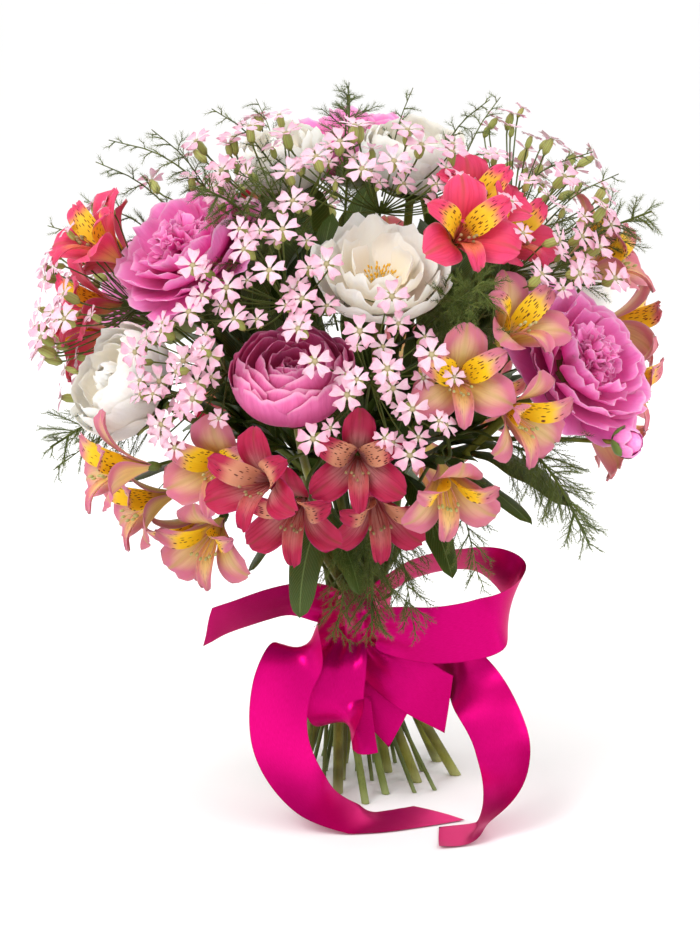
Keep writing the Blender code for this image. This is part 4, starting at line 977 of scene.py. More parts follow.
def addFlower(tepals, marked, stamens, lines, matrix, rng, slim):
    size = rng.uniform(0.9, 1.0)
    wide = 0.6 + 0.4 * size
    for k in range(3):
        turn = 90 + 120 * k + rng.uniform(-5, 5)
        path = [(x * wide, z + 0.004 * (1 - size)) for x, z in outerPath]
        tepal = dict(outerTepal, path=path, width=0.0275 * slim * rng.uniform(0.92, 1.06))
        grid = tepalGrid(matrix, turn, tepal, rng)
        tepals.sheet(grid, flower["thickness"], (rng.uniform(0, 1), 0.0, 1.0))
    for k in range(3):
        turn = 30 + 120 * k + rng.uniform(-4, 4)
        narrow, width, mark = (0.96, 0.0125, 0.25) if k == 2 else (1.0, 0.0155, 1.0)  # the lower one is less
        path = [(x * wide * narrow, z + 0.002) for x, z in innerPath]
        tepal = dict(innerTepal, path=path, width=width * rng.uniform(0.94, 1.06))
        grid = tepalGrid(matrix, turn, tepal, rng)
        marked.sheet(grid, flower["thickness"], (rng.uniform(0, 1), mark, 0.0))
    for k in range(6):
        turn = 265 + 22 * (k - 2.5) + rng.uniform(-8, 8)
        reach = rng.uniform(0.0055, 0.0095)
        top = 0.002 + rng.uniform(-0.004, 0.004)
        way = [(0.0008, -0.027), (0.45 * reach, -0.016), (0.85 * reach, -0.006), (reach, top)]
        path = smoothPath([matrix @ (out * heading(turn, 0) + Vector((0, 0, up))) for out, up in way], 7)
        lines.append((path, flower["filament"], (0.5, 0.15, 0)))
        pod = poseAt(path[-1], path[-1] - path[-2] + scattered(rng, 0.0006))
        stamens.turned(pod, flower["anther"], 6, (0.6, 1.0, 0))


def tepalMaterial(name, look, inner):
    skin = Skin(name, 0.5, 0.2, (0.005, 0.002, 0.0012), specular=0.2)
    veins, mottle = skin.petal(16.0, 0.3)
    along, aside = skin.along, abs(skin.across - 0.5)
    rim = aside * aside * 3.4 + along.maths("POWER", 3.0)
    layers = [
        (along.step(look["start"], look["full"]), look["face"]),
        (rim.step(0.14, 0.86), look["tip"]),
        (veins * look["veinShare"], look["vein"]),
        (mottle.step(0.3, 0.7, 0.0, 0.25), look["shade"]),
        (skin.random * 0.3, look["tip"]),
    ]
    if inner:
        patch = along.step(0.22, 0.34) * along.step(0.82, 0.62) * skin.tone
        row = combine(skin.tree, skin.across * 11.0, along * 9.0, skin.random * 91.0)
        cells = get(skin.tree, "ShaderNodeTexVoronoi", {"Vector": row, "Scale": 1.0, "Randomness": 0.75})
        dash = cells.step(0.33, 0.22) * (along.step(0.18, 0.28) * along.step(0.90, 0.78)) * skin.tone
        layers += [(patch * look["patchShare"], look["patch"]), (dash * 0.95, look["dash"])]
    else:
        layers.append((aside.step(0.10, 0.0) * along.step(0.55, 0.95, 0.15, 0.55), look["keel"]))
    return skin.paint(look["throat"], *layers)


tepalLooks = {
    "yellow": dict(throat=(0.78, 0.58, 0.10), face=(0.76, 0.54, 0.25), tip=(0.54, 0.13, 0.22),
                   vein=(0.52, 0.16, 0.12), shade=(0.60, 0.24, 0.15), keel=(0.40, 0.32, 0.05),
                   patch=(0.86, 0.50, 0.01), dash=(0.07, 0.004, 0.008),
                   veinShare=0.35, patchShare=1.0, start=0.25, full=0.70),
    "salmon": dict(throat=(0.80, 0.56, 0.14), face=(0.78, 0.44, 0.23), tip=(0.60, 0.15, 0.22),
                   vein=(0.55, 0.15, 0.14), shade=(0.64, 0.22, 0.18), keel=(0.45, 0.34, 0.09),
                   patch=(0.84, 0.50, 0.02), dash=(0.08, 0.005, 0.008),
                   veinShare=0.35, patchShare=1.0, start=0.2, full=0.65),
    "crimson": dict(throat=(0.70, 0.40, 0.36), face=(0.40, 0.020, 0.075), tip=(0.38, 0.010, 0.055),
                    vein=(0.20, 0.002, 0.02), shade=(0.24, 0.004, 0.03), keel=(0.18, 0.03, 0.02),
                    patch=(0.62, 0.28, 0.16), dash=(0.05, 0.0, 0.004),
                    veinShare=0.6, patchShare=0.85, start=0.22, full=0.80, slim=0.78),
    "red": dict(throat=(0.76, 0.36, 0.08), face=(0.76, 0.045, 0.105), tip=(0.72, 0.05, 0.15),
                vein=(0.42, 0.01, 0.025), shade=(0.50, 0.02, 0.045), keel=(0.34, 0.08, 0.03),
                patch=(0.82, 0.46, 0.02), dash=(0.08, 0.002, 0.006),
                veinShare=0.35, patchShare=1.0, start=0.12, full=0.5),
}
tepalMaterials = {name: tepalMaterial("tepal_" + name, look, False) for name, look in tepalLooks.items()}
markedMaterials = {
    name: tepalMaterial("marked_tepal_" + name, look, True) for name, look in tepalLooks.items()}
paleStamens = simpleMaterial("stamens_pale", (0.80, 0.42, 0.36), (0.42, 0.42, 0.16), 0.5)
redStamens = simpleMaterial("stamens_red", (0.45, 0.05, 0.08), (0.30, 0.22, 0.10), 0.5)


def findFlower(node, azimuth, elevation, reach, look):
    turns = [90 + 60 * lobe + aside * (0.95 if lobe % 2 else 1.7) for lobe in range(6) for aside in (-10, 10)]
    tips = [flower["radius"] * heading(turn, 0) for turn in turns]
    poses = (poseAt(onDome(azimuth, elevation, reach + 0.002 * step), look) for step in range(14))
    return nearest(poses, lambda matrix: distance(node, [matrix @ tip for tip in tips]))


def findPedicel(node, hub, base, look):
    rng = random.Random(node)
    run = base - hub

    def bends():
        for attempt in range(60):
            tilt = scattered(rng, 1) * (attempt / 30) * 0.5
            leave = hub + (run.normalized() + tilt * 0.6).normalized() * 0.35 * run.length
            arrive = base - (look + tilt).normalized() * 0.35 * run.length
            straight = [hub.lerp(base, k / 4) for k in range(5)]
            yield interpolate_bezier(hub, leave, arrive, base, 5) if attempt else straight

    return nearest(bends(), lambda bend: distance(node, bend[1:4]), enough=0.0011)[1]


for node, (hubPlace, flowers) in umbels.items():
    rng = random.Random(node + "flowers")
    tone = node.split("_")[1]
    tepals, marked, stamens, stalks = Grids(), Grids(), Grids(), Grids()
    filaments, pedicels = [], []
    hub = onDome(*hubPlace)
    for azimuth, elevation, reach, turn, tilt in flowers:
        look = heading(turn, tilt)
        miss, matrix = findFlower(node, azimuth, elevation, reach, look)
        if miss > 0.001:
            print("no CAD flower for", node, azimuth, round(miss * 1000, 2))
            continue
        addFlower(tepals, marked, stamens, filaments, matrix, rng, tepalLooks[tone].get("slim", 1.0))
        joints = [matrix @ (0.25 * flower["radius"] * heading(90 + 120 * k, 0)) for k in range(3)]
        joints = [p - look * flower["depth"] * 0.75 for p in joints]
        bend = findPedicel(node, hub, min(joints, key=lambda p: (p - hub).length), look)
        throat = matrix @ Vector((0, 0, -flower["depth"] * 0.96))
        pedicels.append((smoothPath(bend[:-1] + [throat - look * 0.003], 14), [0.0012] * 14, (0.5, 0.4, 0)))
        stalks.turned(poseAt(throat, look), flower["ovary"], 12, (0.5, 0.1, 0),
                      lambda a, s: 1 + 0.10 * np.cos(6 * a))
    stalks.turned(poseAt(hub, hubLook(hubPlace)), flower["hub"], 12, (0.5, 0.3, 0))
    stamenTissue = redStamens if tone in ("crimson", "red") else paleStamens
    slot = "petal_yellow" if tone == "salmon" else "petal_" + tone
    place(tepals.object(node.replace("alstro", "tepals"), tepalMaterials[tone]), slot, node)
    place(marked.object(node.replace("alstro", "marked_tepals"), markedMaterials[tone]), slot)
    place(stamens.object(node.replace("alstro", "anthers"), stamenTissue), "petal_yellow")
    place(sweep(node.replace("alstro", "filaments"), filaments, 5, stamenTissue), "petal_yellow")
    place(stalks.object(node.replace("alstro", "ovaries"), stemMaterials["thin"]), "stem_green")
    place(sweep(node.replace("alstro", "pedicels"), pedicels, 8, stemMaterials["thin"]), "stem_green")
print("alstroemerias done")

# Sprays: small notched florets on ribbed calyxes and thin stalks
floret = dict(
    radius=0.0105,
    depth=0.013,
    kinds=6,
    width=0.0072,
    stalk=[0.0006, 0.0006, 0.00055, 0.0005, 0.0005, 0.0005, 0.0005, 0.00055, 0.0006, 0.0008],
)
floretPetal = dict(size=(5, 3), widest=0.76, notch=0.17, point=0.0, base=0.16, tip=0.62, power=1.9,
                   rounding=0.05)
fillers = dict(each=17, small=0.60, large=0.82, gap=0.0021, apart=0.0095)


def floretPetals(seed):
    rng = random.Random(seed)
    grids = Grids()
    lift = rng.uniform(-0.0012, 0.0012)
    for k in range(5):
        path = [(0.0008, -0.0014), (0.0030, -0.0006), (0.0065, 0.4 * lift),
                (0.0106, lift + rng.uniform(-0.0010, 0.0006))]
        width = floret["width"] * rng.uniform(0.92, 1.08)
        tepal = dict(floretPetal, path=path, width=width, hollow=0.14 * rng.uniform(-1, 1))
        grid = tepalGrid(Matrix.Identity(4), 90 + 72 * k + rng.uniform(-5, 5), tepal, rng)
        grids.sheet(grid, 0.00035, (rng.uniform(0, 1), 0.0, 0.0))
    return grids.mesh("floret_%d" % seed)


def calyxShape(seed):
    rng = random.Random(seed)
    grids = Grids()
    fat = rng.uniform(0.88, 1.05)
    profile = [(0.0009, -0.0128), (0.0028 * fat, -0.0098), (0.0028 * fat, -0.0045), (0.0012 * fat, -0.0006)]
    grids.turned(Matrix.Identity(4), profile, 10, (rng.uniform(0, 1), 0.2, 0),
                 lambda a, s: 1 + 0.09 * np.cos(5 * a))
    return grids.mesh("calyx_%d" % seed)


def inSpray(at, spread, share, angle):  # azimuth and elevation of a place in a spray
    elevation = at[1] + spread[1] * share * math.sin(angle)
    azimuth = at[0] + spread[0] * share * math.cos(angle) / max(0.3, math.cos(math.radians(elevation)))
    return azimuth, elevation


def sprayFlorets(node, at, spread, florets):
    rng = random.Random(node)
    for i in range(3 * florets):
        azimuth, elevation = inSpray(at, spread, math.sqrt((i + 0.5) / florets % 1.0), i * golden + 1.0)
        reach = at[2] + rng.uniform(-0.006, 0.006)
        look = heading(azimuth + rng.uniform(-25, 25), elevation + rng.uniform(-12, 28))
        yield onDome(azimuth, elevation, reach), look


def clearAround(point, gap, skip):  # nothing of the other CAD nodes near a point
    return not any(surfaceOf(name).find_nearest(point, gap)[0] for name in cadNodes if name not in skip)


def outsideBlooms(point):
    return all((point - onDome(*at)).length >= radius * 0.92 for at, _, radius, _ in peonies.values())


def hidesBloom(point):  # in front of a peony, seen from outside
    for at, _, radius, _ in peonies.values():
        bloom = onDome(*at) - heart
        if (point - heart).angle(bloom) < math.asin(min(1.0, radius / bloom.length)) * 0.85:
            return True
    return False


def fillerFlorets(node, at, spread):  # smaller florets between a spray's CAD ones
    rng = random.Random(node + "fillers")
    found = []
    for _ in range(160):
        if len(found) == fillers["each"]:
            break
        share, angle = 1.05 * math.sqrt(rng.random()), rng.uniform(0, fullTurn)
        azimuth, elevation = inSpray(at, spread, share, angle)
        point = onDome(azimuth, elevation, at[2] + rng.uniform(-0.020, 0.004))
        look = heading(azimuth + rng.uniform(-30, 30), elevation + rng.uniform(-10, 35))
        size = rng.uniform(fillers["small"], fillers["large"])
        if any((point - other).length < fillers["apart"] for other, *_ in found):
            continue
        rim = [poseAt(point, look) @ (0.7 * size * floret["radius"] * heading(90 * k, 0)) for k in range(4)]
        clear = outsideBlooms(point) and not hidesBloom(point)
        if clear and all(clearAround(p, fillers["gap"], (node,)) for p in [point, *rim]):
            found.append((point, look, size))
    return found


def floretMaterial():
    skin = Skin("floret_petal", 0.6, 0.25, (0.004, 0.002, 0.002))
    veins, _ = skin.petal(9.0, 0.3, 300.0)
    pink = coats((0.80, 0.37, 0.50), (skin.attribute("shade", "Fac"), (0.84, 0.52, 0.63)))
    return skin.paint(
        (0.80, 0.62, 0.62),
        (skin.along.step(0.10, 0.50), pink),
        (veins * 0.30, (0.66, 0.24, 0.36)),
        (skin.along.step(0.13, 0.03), (0.30, 0.28, 0.08)),
    )


def calyxMaterial():
    skin = Skin("calyx_green", 0.5, 0.08)
    ribs = (skin.across * (20 * math.pi)).maths("SINE")
    return skin.paint(
        (0.24, 0.30, 0.06),
        (skin.attribute("shade", "Fac"), (0.40, 0.43, 0.12)),
        (ribs.step(0.2, 0.9, 0.0, 0.5), (0.26, 0.12, 0.07)),
        (skin.along.step(0.75, 1.0, 0.0, 0.6), (0.42, 0.30, 0.22)),
    )


floretTissue = floretMaterial()
calyxTissue = calyxMaterial()
floretKinds = asPieces("floret_kinds", [floretPetals(k) for k in range(floret["kinds"])])
calyxKinds = asPieces("calyx_kinds", [calyxShape(k) for k in range(3)])
counted = 0
for node, (at, spread, florets) in sprays.items():
    rng = random.Random(node + "florets")
    forks = ways[node][-14::2]
    heads, lines = [], []
    for point, look in sprayFlorets(node, at, spread, florets):
        start = point - look * floret["depth"]
        if distance(node, [point, start]) > 0.0003:
            continue
        foot = start + look * 0.003
        near = sorted(forks, key=lambda p: (p - foot).length)
        fits = [f for f in near if distance(node, [f.lerp(foot, s) for s in (0.35, 0.5, 0.65)]) < 0.0008]
        fork = (fits or near)[0]
        heads.append((poseAt(point, look), (1, 1, 1), rng.randrange(floret["kinds"]), rng.uniform(0, 1)))
        bow = start.lerp(fork, 0.5) - (Vector((0, 0, 1)) + look) * 0.05 * (start - fork).length
        line = smoothPath([fork, bow, start, point - look * 0.011], 10)
        lines.append((line, floret["stalk"], (0.5, 0.5, 0)))
    for point, look, size in fillerFlorets(node, at, spread):
        heads.append((poseAt(point, look), (size,) * 3, rng.randrange(floret["kinds"]), rng.uniform(0, 1)))
        start = point - look * floret["depth"] * size
        fork = min(forks, key=lambda p: (p - start).length)
        bow = start.lerp(fork, 0.5) - look * 0.06 * (start - fork).length
        line = smoothPath([fork, bow, start, point.lerp(start, 0.9)], 8)
        lines.append((line, [0.0005] * 7 + [0.0006], (0.5, 0.5, 0)))
    counted += len(heads)
    way = aboveSurface(ways[node], 60)
    way.insert(0, 2 * way[0] - way[1])
    radii = [stemRadius["spray"] * (1.02 - 0.35 * i / 60) for i in range(len(way))]
    lines.append((way, radii, (0.3, 0.2, 0)))
    place(scatter(node.replace("spray", "florets"), heads, floretKinds, floretTissue), "floret_pink", node)
    place(scatter(node.replace("spray", "calyxes"), heads, calyxKinds, calyxTissue), "stem_green")
    stalks = sweep(node.replace("spray", "stalks"), lines, 6, stemMaterials["thin"])
    place(cutLevel(stalks), "stem_green")
dropPieces(floretKinds)
dropPieces(calyxKinds)
print("florets", counted)

# Ferns: branches and branchlets along the CAD fronds, with whorls of fine needles
fern = dict(
    branches=13,
    fillers=20,
    branchletStep=0.0032,
    whorlStep=0.0015,
    spineStep=0.0024,
    needles=4,
    needle=0.0046,
    needleWidth=0.00023,
    longest=0.010,
)


def needleShape():
    half = fern["needleWidth"] / 2
    mesh = bpy.data.meshes.new("needle")
    corners = [(half * math.cos(a), half * math.sin(a), 0.0) for a in (0.0, 2.094, 4.189)]
    mesh.from_pydata([*corners, (0, 0, 1.0)], [], [(2, 1, 0), (0, 1, 3), (1, 2, 3), (2, 0, 3)])
    return mesh


def fernMaterial():
    skin = Skin("fern_needles", 0.55, 0.05)
    return skin.paint(
        (0.05, 0.08, 0.010),
        (noise(skin.tree, skin.coords, 30.0, 2.0).step(0.35, 0.65), (0.10, 0.13, 0.020)),
        (skin.attribute("shade", "Fac") * 0.55, (0.15, 0.21, 0.045)),
    )


def frondLine(node, at, droop):
    rng = random.Random(node)
    before, start = ways[node][-2:]
    tip = onDome(*at)

    def lines():
        for attempt in range(40):
            aside = scattered(rng, 1) * 0.02 * attempt / 40
            middle = start.lerp(tip, 0.5) + Vector((0, 0, droop / 2)) + aside
            yield smoothPath([start - (start - before).normalized() * 0.004, middle, tip], 8)

    return nearest(lines(), lambda line: distance(node, line[1:]), margin=0.00005)[1]


def alongLine(line, share):  # the place and the direction there
    spot = share * (len(line) - 1)
    k = min(int(spot), len(line) - 2)
    return line[k].lerp(line[k + 1], spot - k), (line[k + 1] - line[max(k - 1, 0)]).normalized()


def growBranch(root, out, length, rng, grown, droop):
    lines, twigs, needles = grown
    count = max(6, int(length / 0.004))
    flat = out.cross(Vector((0, 0, 1)))
    flat = flat.normalized() if flat.length > 0.2 else out.orthogonal().normalized()
    flat.rotate(Matrix.Rotation(rng.uniform(-0.9, 0.9), 3, out))
    fall = Vector((0, 0, -droop)) + flat * rng.uniform(-0.15, 0.15)
    shares = (0, 0.25, 0.5, 0.75, 1.0)
    spine = smoothPath([root + out * length * s + fall * length * s * s for s in shares], count)
    lines.append((spine, [0.00045 * (1 - 0.6 * i / count) for i in range(count)], (rng.uniform(0, 1), 0, 0)))
    steps = int(length / fern["branchletStep"])
    for i in range(1, steps + 1):
        share = i / (steps + 0.5)
        foot, ahead = alongLine(spine, share)
        small = (0.45 * length * (1 - share) ** 0.8 + 0.0035) * rng.uniform(0.75, 1.1)
        small = min(small, fern["longest"])
        side = (flat if i % 2 else -flat) * rng.uniform(0.7, 1.0)
        direction = (ahead * 1.5 + side + scattered(rng, 0.25)).normalized()
        tip = foot + direction * small + Vector((0, 0, -0.1 * small))
        twigs.append(([foot, tip], [0.00022, 0.00012], (rng.uniform(0, 1), 0, 0)))
        whorls = max(2, int(small / fern["whorlStep"]))
        for j in range(1, whorls + 1):
            addWhorl(foot.lerp(tip, j / whorls), direction, rng, needles, 1 - 0.35 * j / whorls)
    whorls = int(length / fern["spineStep"])
    for j in range(whorls):
        addWhorl(*alongLine(spine, (j + 0.5) / whorls), rng, needles, 1.0)


def addWhorl(base, ahead, rng, needles, scale):
    turn = rng.uniform(0, fullTurn)
    for n in range(fern["needles"]):
        side = sideways(ahead, turn + 6.283 * n / fern["needles"] + rng.uniform(-0.3, 0.3))
        direction = (ahead * rng.uniform(1.1, 1.8) + side).normalized()
        length = fern["needle"] * scale * rng.uniform(0.7, 1.15)
        turned = direction.to_track_quat("Z", "Y").to_matrix().to_4x4()
        needles.append((Matrix.Translation(base) @ turned, (1, 1, length), 0, rng.uniform(0, 1)))


def placeFern(name, grown, sides, *nodes):
    lines, twigs, needles = grown
    thin = stemMaterials["thin"]
    place(scatter("needles_" + name, needles, needleKinds, fernTissue), "fern_green", *nodes)
    rachis = sweep("rachis_" + name, lines, sides, thin)
    place(cutLevel(rachis) if nodes else rachis, "fern_green")
    place(sweep("twigs_" + name, twigs, 3, thin), "fern_green")
    print("fern", name, "needles", len(needles))


fernTissue = fernMaterial()
needleKinds = asPieces("needle_kinds", [needleShape()])
for node, (at, droop) in fronds.items():
    rng = random.Random(node + "needles")
    line = frondLine(node, at, droop)
    way = aboveSurface(ways[node][:-1] + line, 70)
    way.insert(0, 2 * way[0] - way[1])
    radii = [stemRadius["fern"] * (1.02 - 0.55 * (i / 71) ** 2) for i in range(len(way))]
    grown = [(way, radii, (0.4, 0.2, 0))], [], []
    for k in range(2, fern["branches"]):
        share = k / fern["branches"]
        root, along = alongLine(line, share)
        length = 0.040 * (1 - share) ** 0.7 + 0.008
        out = (along * 0.75 + sideways(along, 2.4 * k)).normalized()
        if distance(node, [root + out * length * s for s in (0.4, 0.6, 0.8)]) < 0.0006:
            growBranch(root, out, length, rng, grown, 0.12)
    for k in range(fern["fillers"]):
        share = (k + 0.6) / fern["fillers"]
        root, along = alongLine(line, share)
        length = (0.032 * (1 - share) ** 0.7 + 0.007) * rng.uniform(0.8, 1.1)
        growBranch(root, (along + sideways(along, 2.4 * k + 0.7)).normalized(), length, rng, grown, 0.22)
    placeFern(node[5:], grown, 5, node)

# Plumes that fill the gaps: azimuth, elevation and reach of foot and tip, longest branch, and branches
plumes = [
    (-112, 34, 0.110, -113, 42, 0.196, 0.026, 15),
    (-72, 14, 0.110, -70, 14, 0.208, 0.026, 16),
    (-62, 4, 0.120, -64, 10, 0.200, 0.020, 10),
    (-146, 40, 0.120, -146, 44, 0.208, 0.026, 13),
    (-164, 34, 0.120, -164, 36, 0.208, 0.022, 11),
    (-154, -16, 0.130, -158, -18, 0.214, 0.024, 12),
    (-62, -24, 0.120, -62, -38, 0.198, 0.036, 18),
    (-44, -14, 0.130, -40, -30, 0.214, 0.034, 18),
    (-20, 30, 0.120, -22, 34, 0.208, 0.022, 12),
    (-88, -44, 0.110, -98, -62, 0.190, 0.038, 20),
    (-78, -44, 0.110, -68, -60, 0.190, 0.036, 20),
    (-70, 66, 0.110, -66, 64, 0.188, 0.020, 11),
    (-97, 14, 0.100, -96, 15, 0.172, 0.020, 11),
    (-120, 12, 0.100, -121, 13, 0.180, 0.020, 11),
    (-96, -8, 0.100, -97, -6, 0.160, 0.020, 11),
    (-124, -6, 0.100, -124, -4, 0.165, 0.020, 10),
    (-52, 10, 0.110, -53, 20, 0.180, 0.020, 10),
    (30, -14, 0.120, 30, -16, 0.200, 0.028, 12),
    (60, 24, 0.110, 58, 28, 0.196, 0.026, 12),
    (108, 10, 0.110, 106, 10, 0.186, 0.022, 10),
    (150, -12, 0.120, 152, -18, 0.204, 0.028, 12),
    (176, 24, 0.110, 178, 28, 0.198, 0.026, 12),
    (130, 52, 0.110, 130, 56, 0.186, 0.022, 11),
    (20, 56, 0.110, 20, 58, 0.186, 0.022, 11),
    (-98, 62, 0.130, -93, 61, 0.198, 0.015, 16),
    (-122, 54, 0.130, -131, 50, 0.206, 0.015, 16),
    (-150, 46, 0.130, -160, 40, 0.212, 0.015, 16),
    (-58, 56, 0.130, -50, 53, 0.204, 0.015, 16),
    (-42, 40, 0.130, -33, 38, 0.214, 0.015, 16),
    (-168, 16, 0.130, -176, 22, 0.212, 0.015, 16),
    (-110, 40, 0.130, -116, 37, 0.206, 0.018, 16),
]
halves = {"front": ([], [], []), "back": ([], [], [])}
for i, (*ends, longest, count) in enumerate(plumes):
    grown = halves["front" if ends[0] < -50 or ends[0] > 170 else "back"]
    rng = random.Random(900 + i)
    foot, tip = onDome(*ends[:3]), onDome(*ends[3:])
    line = smoothPath([foot, foot.lerp(tip, 0.55) + Vector((0, 0, 0.10 * (tip - foot).length)), tip], 9)
    grown[0].append((line, [0.0007 * (1 - 0.07 * k) for k in range(9)], (0.4, 0.2, 0)))
    for k in range(count):
        share = 0.12 + 0.86 * (k + 0.5) / count
        root, along = alongLine(line, share)
        length = longest * (1 - 0.72 * share) * rng.uniform(0.8, 1.1)
        growBranch(root, (along * 0.9 + sideways(along, 2.4 * k + i)).normalized(), length, rng, grown, 0.22)
for side, grown in halves.items():
    placeFern("plumes_" + side, grown, 4)
dropPieces(needleKinds)

# Green sepals and the seat of the petals under each peony
sepal = dict(count=5, thickness=0.0006)
sepalShape = dict(bend=0.80, start=-4, width=0.26, widest=0.6, base=0.5, tip=0.15, wrap=0.5, ruffle=0.02,
                  rounding=0.1)


def addSepals(grids, node, matrix, form):
    rng = random.Random(node + "sepals")
    low, (out, up) = underside[form], bloomForms[form][-1][1]
    seat = [(0.05, low - 0.03), (0.13, low), (0.24, 0.5 * (low + up)), (out + 0.02, up), (out, up + 0.08),
            (0.1, up + 0.12)]
    grids.turned(matrix, seat, 18, (0.4, 0.3, 0))
    for k in range(sepal["count"]):
        petal = dict(sepalShape, foot=(0.06, low - 0.02), end=rng.uniform(34, 52), curl=rng.uniform(-20, 30))
        grid = petalGrid(matrix, 72 * k + rng.uniform(-12, 12), petal, (9, 7), rng)
        grids.sheet(grid, sepal["thickness"], (rng.uniform(0, 1), rng.uniform(0, 1), 0.0))


sepalMaterial = simpleMaterial("sepal_green", (0.10, 0.17, 0.035), (0.24, 0.26, 0.07), 0.5, 0.05, 400.0, 0.3)
for node, (at, faces, radius, form) in peonies.items():
    grids = Grids()
    addSepals(grids, node, bloomPose(at, faces, radius), form)
    place(grids.object(node.replace("peony", "sepals"), sepalMaterial), "stem_green")

# Leaves and the bud, where the CAD stems bear them, and dark leaves among the stems
leafThickness = 0.0006
innerLeaves = dict(count=170, width=0.023, reach=(0.088, 0.126), rise=34, span=(-38, 74), gap=0.0012)


def leafPoints(choice, u, v, lift=0.0):  # places on a leaf: across from -1 to 1, along from 0 to 1
    root, tip, width, arch = choice
    run = tip - root
    side = run.cross(Vector((0, 0, 1))).normalized()
    up = side.cross(run).normalized()
    half = width / 2 * halfWidth(v, 0.42, 0.25, 0.02) * u * np.minimum(1.0, 0.25 + v / 0.16)
    lift = lift + arch * 4 * v * (1 - v) - 0.25 * np.abs(half)
    return np.array(root) + sum(np.multiply.outer(*pair) for pair in ((v, run), (half, side), (lift, up)))


def leafChoices(way, share, tip, width, arch):
    rng = random.Random(bouquet["seed"])
    for attempt in range(60):
        spread = min(1.0, attempt / 20)
        root = way[round(share * (len(way) - 1)) + round(spread * rng.uniform(-4, 4))]
        yield root, Vector(tip) + scattered(rng, 1) * 0.014 * spread, width, arch


def findLeaf(node, shape):
    u = np.array([0, -1, -1, -1, 1, 1, 1])
    v = np.array([1, 0.25, 0.5, 0.75, 0.25, 0.5, 0.75])
    choices = leafChoices(ways[node], *shape)
    return nearest(choices, lambda choice: distance(stemNode(node), leafPoints(choice, u, v)))


def addLeaf(grids, choice, rng, size=(21, 9)):
    v, u = np.meshgrid(np.linspace(0, 1, size[0]), np.linspace(-1, 1, size[1]), indexing="ij")
    phase = rng.uniform(0, fullTurn)
    wave = 0.05 * choice[2] * u ** 2 * np.sin(14 * v + phase + 1.5 * (u > 0)) * np.sin(math.pi * v)
    grid = leafPoints(choice, u, v, wave - 0.04 * choice[2] * (1 - np.abs(u)) ** 3)
    grids.sheet(grid, leafThickness, (rng.uniform(0, 1), rng.uniform(0, 1), 0))


def leafMaterial():
    skin = Skin("leaf_green", 0.42, 0.06)
    aside = abs(skin.across - 0.5)
    slanted = (skin.along * 26.0 - aside * 11.0) * (2 * math.pi)
    lines = aside.step(0.035, 0.012).maths("MAXIMUM", slanted.maths("SINE").step(0.86, 1.0) * 0.55)
    height, mottle = skin.crinkle(500.0)
    skin.relief(height - lines * 1.2, 0.4)
    return skin.paint(
        (0.018, 0.036, 0.003),
        (mottle, (0.05, 0.085, 0.010)),
        (skin.tone * 0.5, (0.075, 0.12, 0.016)),
        (lines * 0.6, (0.17, 0.24, 0.07)),
    )


def fillLeaves(leafTissue):  # under the flowers
    rng = random.Random(bouquet["seed"])
    grids = Grids()
    notHeads = [n for n in cadNodes if not n.startswith(("alstro_", "peony_")) or "_stem_" in n]
    low, high = (math.sin(math.radians(a)) for a in innerLeaves["span"])
    inner, outer = innerLeaves["reach"]
    held = 0
    for k in range(innerLeaves["count"]):
        azimuth = 360 * (0.7549 * k % 1)  # these two steps spread evenly together
        elevation = math.degrees(math.asin(low + (high - low) * (0.5698 * k % 1)))
        tip = onDome(azimuth, elevation, outer - 0.020 * rng.random())
        aside = azimuth + rng.uniform(-25, 25)
        root = onDome(aside, elevation - innerLeaves["rise"] * rng.uniform(0.8, 1.2), inner)
        width = innerLeaves["width"] * rng.uniform(0.75, 1.15)
        inside = [root.lerp(tip, s) for s in (0.3, 0.6, 0.9)]
        if all(outsideBlooms(p) and clearAround(p, innerLeaves["gap"], notHeads) for p in inside):
            addLeaf(grids, (root, tip, width, rng.uniform(0.006, 0.014)), rng, (11, 5))
            held += 1
    place(grids.object("leaves_inner", leafTissue), "stem_green")
    print("inner leaves", held)


budProfile = [(0.25, -0.95), (0.72, -0.65), (0.95, -0.15), (0.90, 0.35), (0.62, 0.80), (0.18, 1.05)]
budPetal = dict(foot=(0.10, -1.0), bend=1.0, start=0, end=148, width=0.75, wrap=0.95, widest=0.55, base=0.4,
                tip=0.3, ruffle=0.02, rounding=0.2)
budSepal = dict(foot=(0.05, -1.06), bend=1.05, start=-5, width=0.72, wrap=1.0, widest=0.5, base=0.5, tip=0.1,
                ruffle=0.02, rounding=0.1)


